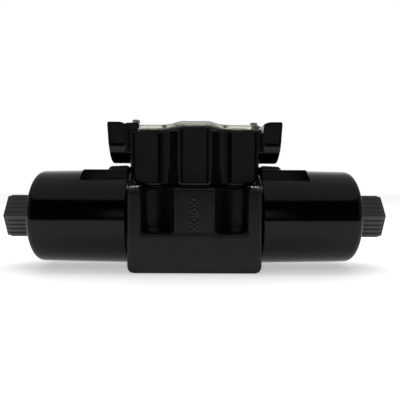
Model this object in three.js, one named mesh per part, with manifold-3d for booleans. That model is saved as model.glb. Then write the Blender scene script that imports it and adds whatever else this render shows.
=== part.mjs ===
// Solenoid directional valve, 4-way 3-position, spring centred, two wet-pin solenoids.
// Millimetres, +Z up. The origin is the centre of the mounting face, +X runs along the
// spool towards solenoid b, and -Y is the front.
import * as THREE from 'three';
import { mergeVertices } from 'three/addons/utils/BufferGeometryUtils.js';
import Module from 'manifold-3d';

const wasm = await Module();
wasm.setup();

// Driving dimensions
const GAP = 0.3;
const FINE_GAP = 0.1;
const ROUND = 16;
const COIL_ROUND = 32;
const RING_ROUND = 16;
const RING_SECTION = 5;
const SMALL_ROUND = 8;

const AXIS_Z = 35;

// Subplate interface, size 10 with four M6 bolts
const BOLT_X = 27;
const BOLT_Y = 23;
const BOLT_HOLE_RADIUS = 3.3;
const PORTS = {
  p: [0, -16.7],
  a: [-10.3, -1.6],
  b: [10.3, -1.6],
  t: [-23.8, 9.5],
  t1: [23.8, 9.5],
};
const PORT_RADIUS = 5.2;
const PORT_SEAL_RADIUS = 6.4;
const PORT_SEAL_WIRE = 0.65;
const PORT_SEAL_POCKET = 1.4;

// Cast body
const BODY_X = 43.4;
const BODY_Y = 35;
const BODY_TOP = 55.4;
const TOWER_INSIDE_X = 34.2;
const BOSS_X = 12.2;
const BOSS_STEP = 1.05;
const BOSS_ROOT_X = 22;
const BARREL_Y = 15;
const POCKET_FLOOR = 25.4;
const SEAT_X = 44.6;
const SEAT_RADIUS = 19;
const SEAT_SEAL_RADIUS = 15.5;
const SEAT_SEAL_WIRE = 1.1;
const SEAT_GROOVE = 42.5;
const SPOOL_BORE_RADIUS = 8;
const CHAMBER_RADIUS = 10;
const SPRING_CHAMBER_X = 27;
const SPRING_CHAMBER_RADIUS = 11.5;

// Solenoid tube, measured outwards from the valve centre
const POLE_NOSE = 37.5;
const SPIGOT_GROOVE = 41.6;
const POLE_SHOULDER = SEAT_X + GAP;
const POLE_FACE = 74;
const SPRING_WELL_END = 50;
const SPRING_WELL_RADIUS = 8.3;
const TUBE_START = 62;
const TUBE_END = 113.3;
const TUBE_RADIUS = 12;
const TUBE_BORE_RADIUS = 10.4;
const ARMATURE_START = 78.5;
const ARMATURE_END = 103;
const PLUG_START = 107.3;
const STUD_RADIUS = 10.2;

// Coil
const COIL_START = SEAT_X + GAP;
const COIL_END = 110.9;
const COIL_RADIUS = 33.2;
const COIL_END_RADIUS = 32;
const COIL_EDGE = 3.2;
const COIL_BORE_RADIUS = 12.4;
const CASE_CAVITY_RADIUS = 29;
const CASE_CAVITY_END = 105;
const YOKE_RADIUS = 28.7;
const YOKE_WALL = 2.5;
const YOKE_PLATE = 2.7;
const PAD_END = 78.2;
const PAD_TOP_END = 75;
const PAD_TOP = 32.4;
const PAD_FOOT = 25;
const PAD_Y = 21;
const FLAG_END = 58.6;
const FLAG_END_Y = 10.5;
const FLAG_ROOT_Y = 20;
const FLAG_TOP = 35.2;

// Lock nut
const NUT_START = COIL_END + GAP;
const NUT_END = 131.4;
const NUT_FLAT_RADIUS = 14.55;
const RIBS_PER_FLAT = 5;
const RIB_DEPTH = 0.5;

// Terminal box
const BOX_BOTTOM = 56.4;
const BOX_RIM = 93.3;
const BOX_X = 44.3;
const BOX_Y = 17.5;
const BOX_CORNER = 13;
const CORE_Y = 14;
const CORE_FOOT_Y = 9.5;
const CORE_TOP = 79;
const PLUG_SEAT_X = 42.5;
const PLUG_Y = 6;
const PLUG_BOTTOM = 65.9;
const PLUG_TOP = 69.8;
const BULGE_X = 9.8;
const BULGE_Y = 33.5;
const BULGE_FLANK = Math.PI / 3;
const BULGE_FILLET = 12;
const BULGE_EDGE = 1.5;
const WALL = 3;
const BAND_INSIDE_X = 38.2;
const BAND_OUTSIDE_X = 47.4;
const BAND_Y = 15;
const BAND_BOTTOM = 78.7;
const LIP_TOP = 99.8;
const CONDUIT_END = 60.5;
const CONDUIT_RADIUS = 14;
const CONDUIT_TOP = 100.6;
const CONDUIT_AXIS_Z = 86;
const CONDUIT_FACE_X = 58.8;
const CONDUIT_FACE_RADIUS = 12.3;
const CONDUIT_BORE_RADIUS = 10.3;
const CONDUIT_BORE_END = 48;
const CONDUIT_HOLE_RADIUS = 6.5;
const COVER_BOTTOM = 94.6;
const COVER_TOP = 98;
const COVER_LEFT = -37.9;
const COVER_RIGHT = 45.6;
const TONGUE_TOP = 96.4;
const TONGUE_Y = 13.5;
const COVER_SCREW_X = 40.7;
const COVER_SCREW_Y = -10;
const SCREW_BOSS_RADIUS = 3.6;
const SCREW_BOSS_BOTTOM = 80;
const LEAD_HOLE_RADIUS = 2.5;
const LEAD_HOLE_Z = 67.9;
const BOX_SCREW_X = 27;
const GASKET_X = 31;
const GASKET_Y = 14.5;
const GASKET_WING_X = 40;
const GASKET_WING_Y = 9;
const GASKET_TONGUE_X = 10;
const GASKET_TONGUE_Y = 31;
const EARTH_SCREW_Y = -24;

// Materials
const paints = {
  castIron: { color: 0x23221f, roughness: 0.5, metalness: 0.3 },
  blackPaint: { color: 0x161616, roughness: 0.25, metalness: 0.1 },
  blackPlastic: { color: 0x1b1b1b, roughness: 0.3, metalness: 0 },
  nutPlastic: { color: 0x2b2b2a, roughness: 0.5, metalness: 0 },
  steel: { color: 0x9a9a98, roughness: 0.3, metalness: 1 },
  darkSteel: { color: 0x55565a, roughness: 0.4, metalness: 1 },
  springSteel: { color: 0x6d7075, roughness: 0.35, metalness: 1 },
  brass: { color: 0xb08d4a, roughness: 0.35, metalness: 1 },
  copper: { color: 0xa4552d, roughness: 0.45, metalness: 0.8 },
  rubber: { color: 0x1a1a1a, roughness: 0.8, metalness: 0 },
  palePlastic: { color: 0xcfcabb, roughness: 0.5, metalness: 0 },
  board: { color: 0x1e5a35, roughness: 0.5, metalness: 0 },
  lamp: { color: 0xc23b22, roughness: 0.2, metalness: 0 },
  cover: { color: 0xc9c8bd, roughness: 0.1, metalness: 0, transparent: true, opacity: 0.5 },
  aluminium: { color: 0xa9abad, roughness: 0.35, metalness: 1 },
};

// Geometry helpers

// One closed solid for joining and cutting, from any three.js geometry
function solid(geometry) {
  const bare = geometry.clone();
  bare.deleteAttribute('normal');
  bare.deleteAttribute('uv');
  const merged = mergeVertices(bare, 1e-4);
  const corners = merged.index.array;
  const triangles = [];
  for (let i = 0; i < corners.length; i += 3) {
    const triangle = corners.slice(i, i + 3);
    if (new Set(triangle).size === 3) triangles.push(...triangle);
  }
  return new wasm.Manifold(new wasm.Mesh({
    numProp: 3,
    vertProperties: new Float32Array(merged.attributes.position.array),
    triVerts: new Uint32Array(triangles),
  }));
}

function geometryOf(manifold) {
  const mesh = manifold.getMesh();
  const geometry = new THREE.BufferGeometry();
  geometry.setAttribute('position', new THREE.BufferAttribute(mesh.vertProperties, 3));
  geometry.setIndex(new THREE.BufferAttribute(mesh.triVerts, 1));
  geometry.computeVertexNormals();
  return geometry;
}

function addPiece(group, name, shape, paint) {
  const mesh = new THREE.Mesh(geometryOf(shape), new THREE.MeshStandardMaterial(paint));
  mesh.name = name;
  group.add(mesh);
  return mesh;
}

function block(x0, x1, y0, y1, z0, z1) {
  const geometry = new THREE.BoxGeometry(x1 - x0, y1 - y0, z1 - z0);
  return solid(geometry.translate((x0 + x1) / 2, (y0 + y1) / 2, (z0 + z1) / 2));
}

function extrusion(points, depth) {
  const outline = new THREE.Shape(points.map(([x, y]) => new THREE.Vector2(x, y)));
  return new THREE.ExtrudeGeometry(outline, { depth, bevelEnabled: false });
}

// Outlines drawn in plan, seen from the front, and seen along the spool
function planPrism(points, z0, z1) {
  return solid(extrusion(points, z1 - z0).translate(0, 0, z0));
}

function frontPrism(points, y0, y1) {
  return solid(extrusion(points, y1 - y0).rotateX(Math.PI / 2).translate(0, y1, 0));
}

function endPrism(points, x0, x1) {
  const turned = extrusion(points, x1 - x0).rotateX(Math.PI / 2).rotateZ(Math.PI / 2);
  return solid(turned.translate(x0, 0, 0));
}

// A turned piece about the X axis, from a profile of [x, radius] pairs that runs outwards
// at its first end and back inwards at the other
function turned(profile, segments = ROUND) {
  const points = profile.map(([x, radius]) => new THREE.Vector2(radius, x));
  points.push(points[0].clone());
  return solid(new THREE.LatheGeometry(points, segments).rotateZ(-Math.PI / 2));
}

function bar(radius, x0, x1, segments = ROUND) {
  const geometry = new THREE.CylinderGeometry(radius, radius, x1 - x0, segments);
  return solid(geometry.rotateZ(-Math.PI / 2).translate((x0 + x1) / 2, 0, 0));
}

function post(radius, x, y, z0, z1, segments = ROUND) {
  const geometry = new THREE.CylinderGeometry(radius, radius, z1 - z0, segments);
  return solid(geometry.rotateX(Math.PI / 2).translate(x, y, (z0 + z1) / 2));
}

function sealRing(radius, wire, x) {
  const ring = new THREE.TorusGeometry(radius, wire, RING_SECTION, RING_ROUND);
  return solid(ring.rotateY(Math.PI / 2).translate(x, 0, 0));
}

function arc(cx, cy, radius, from, to, steps) {
  return Array.from({ length: steps + 1 }, (_, i) => {
    const angle = from + ((to - from) * i) / steps;
    return [cx + radius * Math.cos(angle), cy + radius * Math.sin(angle)];
  });
}

function mirrorX(points) {
  return points.map(([x, y]) => [-x, y]).reverse();
}

function roundedRectangle(halfX, halfY, radius, steps = 3) {
  const quarter = Math.PI / 2;
  const corners = [[1, 1], [-1, 1], [-1, -1], [1, -1]];
  return corners.flatMap(([sx, sy], i) => arc(
    sx * (halfX - radius), sy * (halfY - radius), radius, i * quarter, (i + 1) * quarter, steps));
}

// Cast body

function pocketOutline(sideX, sideY) {
  const plan = [
    [BOSS_X, BODY_Y + 5],
    [BOSS_X, BODY_Y - 1.5],
    [BOSS_ROOT_X, BARREL_Y],
    ...arc(TOWER_INSIDE_X - 3, BARREL_Y + 3, 3, -Math.PI / 2, 0, 3),
    [TOWER_INSIDE_X, BODY_Y + 5],
  ];
  return plan.map(([x, y]) => [x * sideX, y * sideY]);
}

function bodyShell() {
  const plan = roundedRectangle(BODY_X, BODY_Y, 3);
  const front = [
    ...arc(-BODY_X + 2.5, 2.5, 2.5, Math.PI, 1.5 * Math.PI, 2),
    ...arc(BODY_X - 2.5, 2.5, 2.5, -Math.PI / 2, 0, 2),
    ...arc(BODY_X - 3, BODY_TOP - 3, 3, 0, Math.PI / 2, 2),
    ...arc(-BODY_X + 3, BODY_TOP - 3, 3, Math.PI / 2, Math.PI, 2),
  ];
  const end = [
    [-BODY_Y, 0],
    [BODY_Y, 0],
    ...arc(BODY_Y - 2, BODY_TOP - 2, 2, 0, Math.PI / 2, 2),
    ...arc(-BODY_Y + 2, BODY_TOP - 2, 2, Math.PI / 2, Math.PI, 2),
  ];
  let shell = planPrism(plan, 0, BODY_TOP);
  shell = shell.intersect(frontPrism(front, -BODY_Y - 1, BODY_Y + 1));
  shell = shell.intersect(endPrism(end, -BODY_X - 1, BODY_X + 1));
  for (const sideX of [-1, 1]) {
    for (const sideY of [-1, 1]) {
      shell = shell.subtract(planPrism(pocketOutline(sideX, sideY), POCKET_FLOOR, BODY_TOP + 5));
    }
  }
  for (const turn of [0, 180]) {
    const step = block(
      -BOSS_ROOT_X, BOSS_ROOT_X, BODY_Y - BOSS_STEP, BODY_Y + 1, POCKET_FLOOR, BODY_TOP + 1);
    shell = shell.subtract(step.rotate([0, 0, turn]));
    const seat = bar(SEAT_RADIUS, TOWER_INSIDE_X + 2, SEAT_X).translate(0, 0, AXIS_Z);
    shell = shell.add(seat.rotate([0, 0, turn]));
  }
  return shell;
}

// Spool bore with its five annular chambers and the wider spring chambers
function spoolBore() {
  let bore = bar(SPOOL_BORE_RADIUS, -SPRING_CHAMBER_X - 1, SPRING_CHAMBER_X + 1);
  for (const [from, to] of [[-23.5, -18], [-13.3, -7.3], [-3.5, 3.5], [7.3, 13.3], [18, 23.5]]) {
    bore = bore.add(bar(CHAMBER_RADIUS, from, to));
  }
  for (const turn of [0, 180]) {
    const chamber = bar(SPRING_CHAMBER_RADIUS, SPRING_CHAMBER_X, SEAT_X + 5);
    const inner = SEAT_SEAL_RADIUS - SEAT_SEAL_WIRE - 0.2;
    const outer = SEAT_SEAL_RADIUS + SEAT_SEAL_WIRE + 0.2;
    const end = SEAT_X + 1;
    const groove = turned([[SEAT_GROOVE, inner], [SEAT_GROOVE, outer], [end, outer], [end, inner]]);
    bore = bore.add(chamber.add(groove).rotate([0, 0, turn]));
  }
  return bore.translate(0, 0, AXIS_Z);
}

function portPassages() {
  let passages = block(-3, 3, PORTS.p[1] - 4, 0, 31, 39);
  for (const [name, [x, y]] of Object.entries(PORTS)) {
    const top = { p: 38, a: 28, b: 28, t: 20, t1: 20 }[name];
    passages = passages.add(post(PORT_RADIUS, x, y, -1, top));
    const pocket = PORT_SEAL_RADIUS + PORT_SEAL_WIRE + FINE_GAP;
    passages = passages.add(post(pocket, x, y, -1, PORT_SEAL_POCKET));
  }
  for (const side of [-1, 1]) {
    const [from, to] = side > 0 ? [20.5, 23.2] : [-23.2, -20.5];
    passages = passages.add(block(from, to, 4.5, 8.5, 18, 30));
  }
  return passages;
}

function valveBody() {
  let body = bodyShell().subtract(spoolBore()).subtract(portPassages());
  for (const sideX of [-1, 1]) {
    for (const sideY of [-1, 1]) {
      const x = BOLT_X * sideX;
      const y = BOLT_Y * sideY;
      body = body.subtract(post(BOLT_HOLE_RADIUS, x, y, -1, POCKET_FLOOR + 1, 12));
    }
    body = body.subtract(post(2, BOX_SCREW_X * sideX, 0, 48.2, BODY_TOP + 1, SMALL_ROUND));
  }
  return body;
}

function addBody(group) {
  addPiece(group, 'valve_body', valveBody(), paints.castIron);
  for (const [name, [x, y]] of Object.entries(PORTS)) {
    const ring = new THREE.TorusGeometry(PORT_SEAL_RADIUS, PORT_SEAL_WIRE, RING_SECTION, RING_ROUND);
    const seal = solid(ring.translate(x, y, PORT_SEAL_WIRE + FINE_GAP));
    addPiece(group, `port_seal_${name}`, seal, paints.rubber);
  }
}

// Spool: four lands and three waists
function spool() {
  const land = 7.9;
  const waist = 5;
  return turned([
    [-31, 0], [-31, land - 0.6], [-30.4, land],
    [-22, land], [-22, waist], [-15.7, waist], [-15.7, land],
    [-4.9, land], [-4.9, waist], [4.9, waist], [4.9, land],
    [15.7, land], [15.7, waist], [22, waist], [22, land],
    [30.4, land], [31, land - 0.6], [31, 0],
  ]);
}

// Solenoid pieces, all drawn outwards along +X from the valve centre

function springSeat() {
  return turned([[31.3, 3.2], [31.3, 9.5], [33.2, 9.5], [33.2, 5.4], [34.4, 5.4], [34.4, 3.2]]);
}

class Coil extends THREE.Curve {
  constructor(radius, start, end, turns) {
    super();
    Object.assign(this, { radius, start, end, turns });
  }

  getPoint(t) {
    const angle = 2 * Math.PI * this.turns * t;
    const x = this.start + (this.end - this.start) * t;
    return new THREE.Vector3(x, this.radius * Math.cos(angle), this.radius * Math.sin(angle));
  }
}

function centringSpring() {
  const wire = 0.75;
  const path = new Coil(6.7, 33.5 + wire, SPRING_WELL_END - GAP - wire, 5.5);
  const section = new THREE.Shape(arc(0, 0, wire, 0, 2 * Math.PI, 5).slice(1)
    .map(([x, y]) => new THREE.Vector2(x, y)));
  return solid(new THREE.ExtrudeGeometry(section, { steps: 44, extrudePath: path, bevelEnabled: false }));
}

function polePiece() {
  return turned([
    [SPRING_WELL_END, 3.3], [SPRING_WELL_END, SPRING_WELL_RADIUS],
    [POLE_NOSE, SPRING_WELL_RADIUS], [POLE_NOSE, 10.4], [POLE_NOSE + 0.8, 11.2],
    [SPIGOT_GROOVE, 11.2], [SPIGOT_GROOVE, 9.3],
    [SPIGOT_GROOVE + 2, 9.3], [SPIGOT_GROOVE + 2, 11.2],
    [POLE_SHOULDER, 11.2], [POLE_SHOULDER, TUBE_RADIUS],
    [TUBE_START - GAP, TUBE_RADIUS], [TUBE_START - GAP, TUBE_BORE_RADIUS - GAP],
    [POLE_FACE - 2, TUBE_BORE_RADIUS - GAP], [POLE_FACE, 8.6], [POLE_FACE, 3.3],
  ]);
}

function guideTube() {
  return turned([
    [TUBE_START, TUBE_BORE_RADIUS], [TUBE_START, TUBE_RADIUS],
    [TUBE_END, TUBE_RADIUS], [TUBE_END, TUBE_BORE_RADIUS],
  ]);
}

function armature() {
  const radius = TUBE_BORE_RADIUS - 0.15;
  let core = turned([
    [ARMATURE_START, 0], [ARMATURE_START, 8.6], [ARMATURE_START + 1.6, radius],
    [ARMATURE_END - 0.8, radius], [ARMATURE_END, radius - 0.8], [ARMATURE_END, 0],
  ]);
  for (const side of [-1, 1]) {
    core = core.subtract(bar(1.1, ARMATURE_START - 1, ARMATURE_END + 1, 8).translate(0, 0, 6.4 * side));
  }
  return core;
}

function pushPin() {
  return bar(2.9, 31.3, ARMATURE_START - GAP, 12);
}

function tubeEndPlug() {
  return turned([
    [113.3, 2.7], [113.3, 4.3], [PLUG_START, 4.3], [PLUG_START, TUBE_BORE_RADIUS - GAP],
    [TUBE_END, TUBE_BORE_RADIUS - GAP], [TUBE_END + GAP, TUBE_BORE_RADIUS - GAP],
    [TUBE_END + GAP, TUBE_RADIUS], [115.3, TUBE_RADIUS], [115.3, STUD_RADIUS],
    [125.8, STUD_RADIUS], [126.6, STUD_RADIUS - 0.8], [126.6, 7.2],
    [129.8, 7.2], [130.4, 6.6], [130.4, 2.7],
  ]);
}

function overridePin() {
  return turned([
    [109.8, 0], [109.8, 4], [112.9, 4], [112.9, 2.4], [130.8, 2.4], [131.2, 2], [131.2, 0],
  ], 12);
}

function coilBobbin() {
  return turned([
    [49.8, COIL_BORE_RADIUS], [49.8, 25.8], [51.8, 25.8], [51.8, 14],
    [99.4, 14], [99.4, 25.8], [101.4, 25.8], [101.4, COIL_BORE_RADIUS],
  ]);
}

function coilWinding() {
  return turned([[52.1, 14.3], [52.1, 25.2], [99.1, 25.2], [99.1, 14.3]]);
}

function coilYoke() {
  const inner = YOKE_RADIUS - YOKE_WALL;
  const end = CASE_CAVITY_END - GAP;
  return turned([
    [end - YOKE_PLATE, COIL_BORE_RADIUS], [end - YOKE_PLATE, inner],
    [49.6, inner], [49.6, YOKE_RADIUS], [end, YOKE_RADIUS], [end, COIL_BORE_RADIUS],
  ]);
}

function coilEndPlate() {
  const start = COIL_START + GAP;
  const end = start + YOKE_PLATE;
  return turned([
    [start, COIL_BORE_RADIUS], [start, YOKE_RADIUS], [end, YOKE_RADIUS], [end, COIL_BORE_RADIUS],
  ]);
}

// Moulded case: a drafted drum with a squared shoulder and a connector block on top
function coilCase() {
  const slope = (COIL_RADIUS - COIL_END_RADIUS) / (COIL_END - COIL_START);
  const edge = arc(COIL_END - COIL_EDGE, COIL_END_RADIUS - COIL_EDGE, COIL_EDGE, Math.PI / 2, 0, 4);
  const outside = turned([
    [COIL_START, 0], [COIL_START, COIL_RADIUS - 0.8],
    [COIL_START + 0.8, COIL_RADIUS - slope], ...edge, [COIL_END, 0],
  ], COIL_ROUND);
  const pad = frontPrism([
    [COIL_START, PAD_FOOT - 10], [PAD_END, PAD_FOOT - 10], [PAD_END, PAD_FOOT],
    [PAD_TOP_END, PAD_TOP], [COIL_START, PAD_TOP],
  ], -PAD_Y, PAD_Y);
  const flagPlan = [
    [COIL_START, -FLAG_ROOT_Y], [FLAG_END, -FLAG_END_Y], [FLAG_END + 2, -FLAG_END_Y],
    [FLAG_END + 2, FLAG_END_Y], [FLAG_END, FLAG_END_Y], [COIL_START, FLAG_ROOT_Y],
  ];
  const flagSide = frontPrism([
    [COIL_START, 20], [FLAG_END + 2, 20], [FLAG_END + 2, FLAG_TOP - 1.8],
    [FLAG_END, FLAG_TOP], [COIL_START, FLAG_TOP],
  ], -FLAG_ROOT_Y, FLAG_ROOT_Y);
  const flag = planPrism(flagPlan, 20, FLAG_TOP).intersect(flagSide);
  const cavity = bar(CASE_CAVITY_RADIUS, COIL_START - 1, CASE_CAVITY_END, COIL_ROUND);
  const bore = bar(COIL_BORE_RADIUS, COIL_START, COIL_END + 1);
  return outside.add(pad).add(flag).subtract(cavity).subtract(bore);
}

// O-ring between the face of the coil seat and the coil
function faceSeal() {
  return sealRing(SEAT_SEAL_RADIUS, SEAT_SEAL_WIRE, SEAT_GROOVE + SEAT_SEAL_WIRE + 0.2);
}

// Rubber plug that carries the coil leads into the terminal box
function leadPlug() {
  const plug = block(PLUG_SEAT_X + GAP, COIL_START - GAP, -PLUG_Y, PLUG_Y, PLUG_BOTTOM, PLUG_TOP);
  const nose = bar(LEAD_HOLE_RADIUS - GAP, PLUG_SEAT_X - 2.5, COIL_START - 1, SMALL_ROUND);
  return plug.add(nose.translate(0, 0, LEAD_HOLE_Z)).translate(0, 0, -AXIS_Z);
}

// Hexagon with fine ribs along its flats for gripping
function nutOutline() {
  const corner = NUT_FLAT_RADIUS * Math.tan(Math.PI / 6);
  const pitch = (2 * corner) / RIBS_PER_FLAT;
  const points = [];
  for (let flat = 0; flat < 6; flat += 1) {
    const angle = ((flat + 0.5) * Math.PI) / 3;
    for (let rib = 0; rib < RIBS_PER_FLAT; rib += 1) {
      const left = -corner + rib * pitch;
      const steps = [
        [left, NUT_FLAT_RADIUS],
        [left + pitch * 0.68, NUT_FLAT_RADIUS],
        [left + pitch * 0.78, NUT_FLAT_RADIUS - RIB_DEPTH],
        [left + pitch * 0.9, NUT_FLAT_RADIUS - RIB_DEPTH],
      ];
      const drawn = rib < RIBS_PER_FLAT - 1 ? steps : steps.slice(0, 1);
      for (const [along, out] of drawn) {
        points.push([
          out * Math.cos(angle) - along * Math.sin(angle),
          out * Math.sin(angle) + along * Math.cos(angle),
        ]);
      }
    }
  }
  return points;
}

function lockNut() {
  const inside = turned([
    [NUT_START - 1, 0], [NUT_START - 1, 13.3], [NUT_START + 2, 13.3],
    [NUT_START + 2, TUBE_RADIUS + GAP], [115.7, TUBE_RADIUS + GAP],
    [115.7, STUD_RADIUS + GAP], [127, STUD_RADIUS + GAP], [127, 7.6],
    [NUT_END + 1, 7.6], [NUT_END + 1, 0],
  ]);
  const outside = turned([
    [NUT_START, 0], [NUT_START, 16], [NUT_START + 0.8, 17], [NUT_END - 0.9, 17],
    [NUT_END, 15.2], [NUT_END, 0],
  ], 36);
  return endPrism(nutOutline(), NUT_START, NUT_END).intersect(outside).subtract(inside);
}

function addSolenoid(parent, side) {
  const outward = new THREE.Group();
  outward.position.set(0, 0, AXIS_Z);
  outward.rotation.z = side === 'b' ? 0 : Math.PI;
  parent.add(outward);
  const pieces = [
    ['spring_seat', springSeat(), paints.steel],
    ['centring_spring', centringSpring(), paints.springSteel],
    ['pole_piece', polePiece(), paints.steel],
    ['spigot_seal', sealRing(10.5, 0.75, SPIGOT_GROOVE + 1), paints.rubber],
    ['guide_tube', guideTube(), paints.steel],
    ['armature', armature(), paints.darkSteel],
    ['push_pin', pushPin(), paints.steel],
    ['tube_end_plug', tubeEndPlug(), paints.darkSteel],
    ['override_pin', overridePin(), paints.brass],
    ['body_face_seal', faceSeal(), paints.rubber],
    ['coil_end_plate', coilEndPlate(), paints.darkSteel],
    ['coil_bobbin', coilBobbin(), paints.blackPlastic],
    ['coil_winding', coilWinding(), paints.copper],
    ['coil_yoke', coilYoke(), paints.darkSteel],
    ['coil_case', coilCase(), paints.blackPaint],
    ['lead_plug', leadPlug(), paints.rubber],
    ['nut_seal', sealRing(12.65, 0.5, NUT_START + 1), paints.rubber],
    ['lock_nut', lockNut(), paints.nutPlastic],
  ];
  for (const [name, shape, paint] of pieces) {
    addPiece(outward, `${name}_${side}`, shape, paint);
  }
}

// Terminal box

// Plan outline: a rectangle with a flat bulge at the middle of its front and back, whose
// slanted flanks run into the rectangle in large fillets
function boxOutline(inset, corner) {
  const y = BOX_Y - inset;
  const x = BOX_X - inset;
  const rise = BULGE_Y - BOX_Y - BULGE_FILLET * (1 - Math.cos(BULGE_FLANK));
  const run = rise / Math.tan(BULGE_FLANK) + BULGE_FILLET * Math.sin(BULGE_FLANK);
  const edgeX = BULGE_X - inset * Math.tan(BULGE_FLANK / 2);
  const edgeY = -BULGE_Y + inset;
  const quarter = [
    ...arc(x - corner, -y + corner, corner, 0, -Math.PI / 2, 3),
    ...arc(BULGE_X + run, -BOX_Y - BULGE_FILLET, BULGE_FILLET + inset,
      Math.PI / 2, Math.PI / 2 + BULGE_FLANK, 4),
    [edgeX + BULGE_EDGE * Math.cos(BULGE_FLANK), edgeY + BULGE_EDGE * Math.sin(BULGE_FLANK)],
    [edgeX - BULGE_EDGE, edgeY],
  ];
  const front = [...quarter, ...mirrorX(quarter)];
  const back = front.map(([px, py]) => [-px, -py]);
  return [...front, ...back];
}

// Seen from the front, the lower corners of the box are swept up in a large radius
function sweptOutline(inset, top) {
  const x = BOX_X - inset;
  const bottom = BOX_BOTTOM + inset;
  const radius = BOX_CORNER - inset;
  const corner = arc(x - radius, bottom + radius, radius, -Math.PI / 2, 0, 6);
  return [...corner, [x, top], ...mirrorX([...corner, [x, top]])];
}

function boxSolid(inset, corner, top) {
  const plan = planPrism(boxOutline(inset, corner), BOX_BOTTOM + inset, top);
  return plan.intersect(frontPrism(sweptOutline(inset, top), -BODY_Y, BODY_Y));
}

// The boss for one conduit: square above, round below, with a drafted and spot-faced end
function conduitBoss() {
  const centre = CONDUIT_TOP - CONDUIT_RADIUS;
  const bottom = centre - CONDUIT_RADIUS;
  const section = [
    [CONDUIT_RADIUS, CONDUIT_TOP - 1], [CONDUIT_RADIUS - 1, CONDUIT_TOP],
    [-CONDUIT_RADIUS + 1, CONDUIT_TOP], [-CONDUIT_RADIUS, CONDUIT_TOP - 1],
    ...arc(0, centre, CONDUIT_RADIUS, Math.PI, 2 * Math.PI, SMALL_ROUND),
  ];
  const draft = [
    [BOX_X - 1, bottom - 1], [CONDUIT_END - 3.7, bottom - 1], [CONDUIT_END - 1.7, bottom + 3],
    [CONDUIT_END, CONDUIT_TOP + 1], [BAND_OUTSIDE_X + 3.1, CONDUIT_TOP + 1],
    [BAND_OUTSIDE_X + 2.1, CONDUIT_TOP], [BAND_OUTSIDE_X - 1, CONDUIT_TOP - 2.6],
    [BAND_OUTSIDE_X - 1, BAND_BOTTOM + 1], [BOX_X - 1, BAND_BOTTOM + 1],
  ];
  const boss = endPrism(section, BOX_X - 1, CONDUIT_END + 1);
  return boss.intersect(frontPrism(draft, -BODY_Y, BODY_Y));
}

function conduitBore() {
  const spotFace = bar(CONDUIT_FACE_RADIUS, CONDUIT_FACE_X, CONDUIT_END + 1);
  const thread = bar(CONDUIT_BORE_RADIUS, CONDUIT_BORE_END, CONDUIT_END + 1);
  const hole = bar(CONDUIT_HOLE_RADIUS, BOX_X - WALL - 2, CONDUIT_BORE_END + 1);
  return thread.add(hole).add(spotFace).translate(0, 0, CONDUIT_AXIS_Z);
}

// Hole for the coil leads with a socket for the rubber plug around it
function leadOpening() {
  const hole = bar(LEAD_HOLE_RADIUS, PLUG_SEAT_X - 8, BOX_X + 1, SMALL_ROUND).translate(0, 0, LEAD_HOLE_Z);
  const y = PLUG_Y + GAP;
  return hole.add(block(PLUG_SEAT_X, BOX_X + 1, -y, y, PLUG_BOTTOM - GAP, PLUG_TOP + GAP));
}

function terminalBox() {
  let box = boxSolid(0, 3, BOX_RIM);
  box = box.add(block(BAND_INSIDE_X, BAND_OUTSIDE_X, -BAND_Y, BAND_Y, BAND_BOTTOM, BOX_RIM));
  box = box.add(block(-BAND_OUTSIDE_X, -BAND_INSIDE_X, -BAND_Y, BAND_Y, BAND_BOTTOM, LIP_TOP));
  for (const turn of [0, 180]) {
    const core = endPrism([
      [-CORE_FOOT_Y, BOX_BOTTOM], [CORE_FOOT_Y, BOX_BOTTOM], [CORE_Y, CORE_TOP], [-CORE_Y, CORE_TOP],
    ], BOX_X - 11, BOX_X);
    box = box.add(conduitBoss().add(core).rotate([0, 0, turn]));
  }
  box = box.subtract(boxSolid(WALL, 1.5, BOX_RIM + 1));
  for (const x of [-COVER_SCREW_X, COVER_SCREW_X]) {
    box = box.add(post(SCREW_BOSS_RADIUS, x, COVER_SCREW_Y, SCREW_BOSS_BOTTOM, BOX_RIM, 12));
  }
  for (const turn of [0, 180]) {
    box = box.subtract(conduitBore().add(leadOpening()).rotate([0, 0, turn]));
  }
  return box.subtract(coverClearance()).subtract(boxScrewHoles());
}

// The slot under the left lip for the tongue of the cover, and the step beside the right band
function coverClearance() {
  const slotY = TONGUE_Y + GAP;
  const slot = block(-46.3, 1 - BAND_INSIDE_X, -slotY, slotY, BOX_RIM, TONGUE_TOP + GAP);
  const step = block(BAND_OUTSIDE_X - 2, BAND_OUTSIDE_X, -20, 20, BOX_RIM, CONDUIT_TOP + 1);
  return slot.add(step);
}

function boxScrewHoles() {
  const right = post(2, COVER_SCREW_X, COVER_SCREW_Y, 82, BOX_RIM + 1, SMALL_ROUND);
  let holes = right.add(post(2, -COVER_SCREW_X, COVER_SCREW_Y, 82, LIP_TOP + 1, SMALL_ROUND));
  for (const side of [-1, 1]) {
    const x = BOX_SCREW_X * side;
    holes = holes.add(post(2.2, x, 0, BOX_BOTTOM - 1, BOX_BOTTOM + WALL + 1, SMALL_ROUND));
  }
  const earthFloor = BOX_BOTTOM + WALL - 2.4;
  return holes.add(post(2, 0, EARTH_SCREW_Y, earthFloor, BOX_BOTTOM + WALL + 1, SMALL_ROUND));
}

function boxGasket() {
  const z0 = BODY_TOP + FINE_GAP;
  const z1 = BOX_BOTTOM - FINE_GAP;
  let sheet = block(-GASKET_X, GASKET_X, -GASKET_Y, GASKET_Y, z0, z1);
  for (const [x, y] of [[GASKET_WING_X, GASKET_WING_Y], [GASKET_TONGUE_X, GASKET_TONGUE_Y]]) {
    sheet = sheet.add(block(-x, x, -y, y, z0, z1));
  }
  for (const side of [-1, 1]) {
    sheet = sheet.subtract(post(2.2, BOX_SCREW_X * side, 0, BODY_TOP, BOX_BOTTOM, SMALL_ROUND));
  }
  return sheet;
}

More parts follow.
